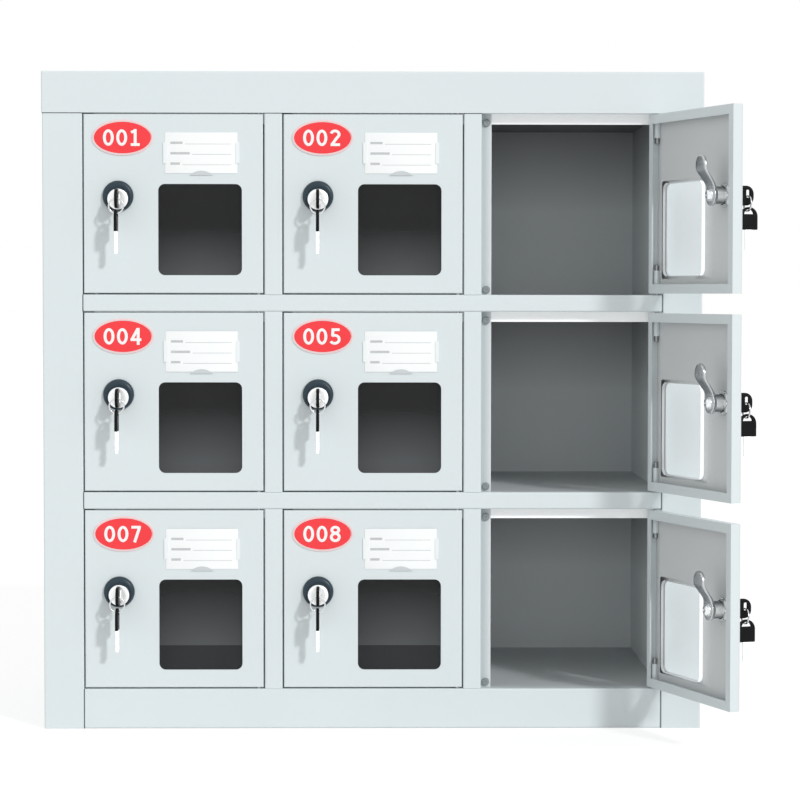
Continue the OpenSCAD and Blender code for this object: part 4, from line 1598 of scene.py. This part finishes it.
def cam_half_width(z):
    """Half the cam's width at a height above the lock's axis."""
    eye = math.sqrt(max(CAM_ROOT_R ** 2 - z ** 2, 0))
    tip = CAM_REACH - CAM_TIP_R
    arm = CAM_NECK + (CAM_TIP_R - CAM_NECK) * ease(z, 4, tip) if z > 0 else 0
    if z > tip:
        arm = math.sqrt(max(CAM_TIP_R ** 2 - (z - tip) ** 2, 0))
    return max(eye, arm)


def cam_section(z):
    """One rounded section across the cam."""
    to_end = min(z + CAM_ROOT_R, CAM_REACH - z)
    fall = max(1 - to_end / CAM_EDGE, 0)
    thick = CAM_T * math.sqrt(max(1 - fall ** 2, CAM_LEAST ** 2))
    width = max(cam_half_width(z), CAM_LEAST)
    middle = CAM_Y + PLAY + CAM_T / 2 + CAM_CRANK * ease(z, CRANK_FROM, CRANK_TO)
    power = 2.0 + min(width, 4.0) * 0.7
    ring = oval_ring(width, thick / 2, 0, power, SECTION_POINTS)
    return [Vector((p.x, middle + p.z, z)) for p in ring]


def cam_shape():
    """The bent arm as a skin over its sections, closer together at both ends."""
    middle = (CAM_REACH - CAM_ROOT_R) / 2
    half = (CAM_REACH + CAM_ROOT_R) / 2
    shares = [i / CAM_SECTIONS for i in range(CAM_SECTIONS + 1)]
    return skin("cam arm", [cam_section(middle - half * math.cos(math.pi * share)) for share in shares])


cam = cam_shape()
print("cam", len(cam.polygons), "faces")

# %% [markdown]
# The screw has a domed head with a cross recess. A recess is the one place where cutting is the
# short way: a Boolean takes a tapered cross out of the turned head.

# %% Cam screw
SCREW_D = 9.6
SCREW_H = 3.0
CROSS_REACH = 2.9
CROSS_W = 1.3
CROSS_DEPTH = 1.9
CROSS_TAPER = 0.7


def bar_shape(half_w, half_h, y0, y1):
    """A bar along y between two depths, narrower at the first."""
    return skin("bar", [
        oval_ring(half_w * share, half_h * share, y, SQUARE, SECTION_POINTS)
        for share, y in ((CROSS_TAPER, y0), (1, y1))])


def cut(mesh, tool):
    """The first mesh without the second."""
    body = bpy.data.objects.new("body", mesh)
    cutter = bpy.data.objects.new("cutter", tool)
    for item in (body, cutter):
        scene.collection.objects.link(item)
    boolean = body.modifiers.new("cut", "BOOLEAN")
    boolean.operation = "DIFFERENCE"
    boolean.solver = "EXACT"
    boolean.object = cutter
    graph = bpy.context.evaluated_depsgraph_get()
    made = bpy.data.meshes.new_from_object(body.evaluated_get(graph))
    for item in (body, cutter):
        bpy.data.objects.remove(item)
    made.set_sharp_from_angle(angle=SMOOTH_ANGLE)
    return made


def screw_shape():
    """A pan head on the cam, with a washer-like foot."""
    foot = TAIL_END + PLAY
    head = foot + SCREW_H
    radius = SCREW_D / 2
    profile = [(radius, foot), (radius, foot + 0.7), (radius - 0.1, foot + 0.9), (radius - 0.9, foot + 0.95),
               (radius - 1.0, foot + 1.4), (radius - 1.3, foot + 2.1), (radius - 2.0, foot + 2.65),
               (radius - 3.0, head - 0.08), (0.6, head)]
    mesh = skin("screw head", lathe(profile))
    for half_w, half_h in ((CROSS_REACH, CROSS_W / 2), (CROSS_W / 2, CROSS_REACH)):
        mesh = cut(mesh, bar_shape(half_w, half_h, head - CROSS_DEPTH, head + 1))
    return mesh


screw = screw_shape()
for n in DOORS:
    add_piece(f"lock_plug_{n}", plug, lock_frame(n), f"lock_{n}", [face_metal],
              [f"lock_cam_{n}"])
    add_piece(f"cam_arm_{n}", cam, lock_frame(n), f"lock_{n}", [cam_steel])
    add_piece(f"cam_screw_{n}", screw, lock_frame(n), f"lock_{n}", [nickel])
print("screw", len(screw.polygons), "faces")

# %% [markdown]
# ## Keys
# Each lock holds a key, and a spare hangs from it on a split ring. A bow is an outline with a hole,
# made thick and rounded at its edges. A blade is an outline too, with the steps and notches that
# work the lock along one side, and a groove is cut along each face.

# %% Key bows
BOW_T = 2.3
BOW_EDGE = 0.45
BOW_START = 7.5
BOW_END = 22.2
BOW_HALF = 7.2
BOW_R = 6.0
BOW_HEEL_R = 0.8
HOLE_FROM = -1.4
HOLE_H = 5.7
HOLE_W = 3.0
HOLE_R = 0.9
BOW_RIM = 3.0
SPARE_W = 14.0
SPARE_H = 16.5
SPARE_HEEL_R = 0.6
SPARE_RIM = 1.7
SPARE_HOLE_R = 4.0


def lock_bow_shape():
    """The bow of the key in the lock: square towards the lock and round at its end."""
    heel = -BOW_START - BOW_HEEL_R
    outline = (
        arc(-BOW_END + BOW_R, BOW_HALF - BOW_R, BOW_R, 90, 180)
        + arc(-BOW_END + BOW_R, -BOW_HALF + BOW_R, BOW_R, 180, 270)
        + arc(heel, -BOW_HALF + BOW_HEEL_R, BOW_HEEL_R, 270, 360, 4)
        + arc(heel, BOW_HALF - BOW_HEEL_R, BOW_HEEL_R, 0, 90, 4))
    hole_left = -BOW_END + BOW_RIM
    hole = rounded_box(hole_left, HOLE_FROM, hole_left + HOLE_W, HOLE_FROM + HOLE_H, HOLE_R, 5)
    return turned(flat_outline("lock key bow", [outline, hole], BOW_T, BOW_EDGE), STAND_SIDEWAYS)


def spare_bow_shape():
    """The bow of the spare key: round above, square below, with a half-round hole."""
    half = SPARE_W / 2
    side, heel = half - SPARE_HEEL_R, SPARE_HEEL_R - SPARE_H
    outline = (
        arc(0, -half, half, 0, 180, 20)
        + arc(-side, heel, SPARE_HEEL_R, 180, 270, 4)
        + arc(side, heel, SPARE_HEEL_R, 270, 360, 4))
    hole_z = -SPARE_RIM - SPARE_HOLE_R
    hole = arc(0, hole_z, SPARE_HOLE_R, 8, 172, 16)
    return turned(flat_outline("spare key bow", [outline, hole], BOW_T, BOW_EDGE), STAND_SIDEWAYS)


lock_bow = lock_bow_shape()
spare_bow = spare_bow_shape()
print("bows", len(lock_bow.polygons), len(spare_bow.polygons), "faces")

# %% Key blades
BLADE_T = 2.2
NECK_W = 7.4
BLADE_W = 5.2
BLADE_LENGTH = 16.7
BLADE_EDGE = 0.12
# How far the point's two slopes go in and how far they go up
TIP_BACK = (2.2, 2.4)
TIP_FRONT = (2.6, 2.8)
NOTCH_DEPTHS = (1.3, 2.1, 0.8, 1.7)
NOTCH_FROM = 3.0
NOTCH_PITCH = 2.9
NOTCH_FLAT = 0.5
NOTCH_SLOPE = 0.55
GROOVE_W = 1.5
GROOVE_DEPTH = 0.5
GROOVE_AT = 1.2
NECK_IN_BOW = 1.0
NECK_IN_PLUG = 6.0


def blade_outline():
    """A blade that hangs down from z = 0, with notches on its front and a pointed end."""
    half = BLADE_W / 2
    points = [
        (half, 0), (half, TIP_BACK[1] - BLADE_LENGTH), (half - TIP_BACK[0], -BLADE_LENGTH),
        (TIP_FRONT[0] - half, -BLADE_LENGTH), (-half, TIP_FRONT[1] - BLADE_LENGTH)]
    for i, depth in reversed(list(enumerate(NOTCH_DEPTHS))):
        middle = -NOTCH_FROM - NOTCH_PITCH * i
        wide = NOTCH_FLAT + depth * NOTCH_SLOPE
        points += [(-half, middle - wide), (-half + depth, middle - NOTCH_FLAT),
                   (-half + depth, middle + NOTCH_FLAT), (-half, middle + wide)]
    return points + [(-half, 0)]


def blade_shape():
    """The notched blade with a groove along each face."""
    mesh = turned(flat_outline("key blade", [blade_outline()], BLADE_T, BLADE_EDGE, 1), STAND_SIDEWAYS)
    for side in (-1, 1):
        groove = skin("groove", [
            [Vector((side * BLADE_T / 2 + x, GROOVE_AT + y, z)) for x, y in
             ((-GROOVE_DEPTH, -GROOVE_W / 2), (GROOVE_DEPTH, -GROOVE_W / 2),
              (GROOVE_DEPTH, GROOVE_W / 2), (-GROOVE_DEPTH, GROOVE_W / 2))]
            for z in (-BLADE_LENGTH - 1, 1)])
        mesh = cut(mesh, groove)
    return mesh


def neck_shape():
    """The short stretch of the lock key's blade between the plug and its bow."""
    return skin("key neck", [
        oval_ring(BLADE_T / 2, NECK_W / 2, y, 8, SMALL_STEPS)
        for y in (-BOW_START - NECK_IN_BOW, PLUG_FACE + NECK_IN_PLUG)])


blade = blade_shape()
neck = neck_shape()
print("blade", len(blade.polygons), "faces")

# %% [markdown]
# The split ring is flat wire wound twice round. A spiral with two turns and a small rise is swept
# with a rectangular section, and the tree takes its radius, its rise and the size of the wire.

# %% Split ring tree
RING_R = 4.95
WIRE_D = 1.1
WIRE_T = 0.5
WIRE_ROUND = 0.16
WIRE_GAP = 0.03


def ring_tree():
    """Flat wire wound in a flat spiral."""
    number = "NodeSocketFloat"
    tree, given, end = new_geometry_tree(
        "split ring", [("Radius", number), ("Rise", number), ("Turns", number), ("Wire Width", number),
                       ("Wire Thickness", number), ("Material", "NodeSocketMaterial")])
    spiral = add_node(tree, "GeometryNodeCurveSpiral")
    spiral.inputs["Resolution"].default_value = 48
    tree.links.new(given["Turns"], spiral.inputs["Rotations"])
    tree.links.new(given["Radius"], spiral.inputs["Start Radius"])
    tree.links.new(given["Radius"], spiral.inputs["End Radius"])
    tree.links.new(given["Rise"], spiral.inputs["Height"])
    section = add_node(tree, "GeometryNodeCurvePrimitiveQuadrilateral")
    tree.links.new(given["Wire Width"], section.inputs["Width"])
    tree.links.new(given["Wire Thickness"], section.inputs["Height"])
    rounded = add_node(tree, "GeometryNodeFilletCurve", mode="POLY")
    rounded.inputs["Count"].default_value = 3
    rounded.inputs["Radius"].default_value = WIRE_ROUND
    tree.links.new(section.outputs[0], rounded.inputs["Curve"])
    normal = add_node(tree, "GeometryNodeSetCurveNormal", mode="Z_UP")
    tree.links.new(spiral.outputs[0], normal.inputs["Curve"])
    wire = add_node(tree, "GeometryNodeCurveToMesh")
    wire.inputs["Fill Caps"].default_value = True
    tree.links.new(normal.outputs[0], wire.inputs["Curve"])
    tree.links.new(rounded.outputs[0], wire.inputs["Profile Curve"])
    close_tree(tree, wire.outputs[0], given["Material"], end)
    return tree


RING = ring_tree()
print("tree", RING.name)

# %% Ring and spare key in place
RING_Y = -17.7
RING_Z = -5.65
SPARE_Y = -18.5
SPARE_TOP = -8.15

ring = run_tree("split ring", RING, points_mesh("ring start", []), {
    "Radius": RING_R + WIRE_D / 2, "Rise": 2 * (WIRE_T + WIRE_GAP), "Turns": 2.0,
    "Wire Width": WIRE_D, "Wire Thickness": WIRE_T, "Material": ring_metal})
turned(ring, Matrix.Translation((0, RING_Y + WIRE_T, RING_Z)) @ STAND_UP)
turned(spare_bow, Matrix.Translation((0, SPARE_Y, SPARE_TOP)))
turned(blade, Matrix.Translation((0, SPARE_Y, SPARE_TOP - SPARE_H)))
for n in DOORS:
    add_piece(f"lock_key_{n}", joined("lock key", [lock_bow, neck]), lock_frame(n), f"lock_{n}",
              [black_plastic, blade_metal])
    add_piece(f"split_ring_{n}", ring, lock_frame(n), f"spare_{n}", [ring_metal])
    add_piece(f"spare_key_bow_{n}", spare_bow, lock_frame(n), f"spare_{n}", [black_plastic],
              [f"spare_key_{n}"])
    add_piece(f"spare_key_blade_{n}", blade, lock_frame(n), f"spare_{n}", [blade_metal])
print("pieces placed", len(placed))
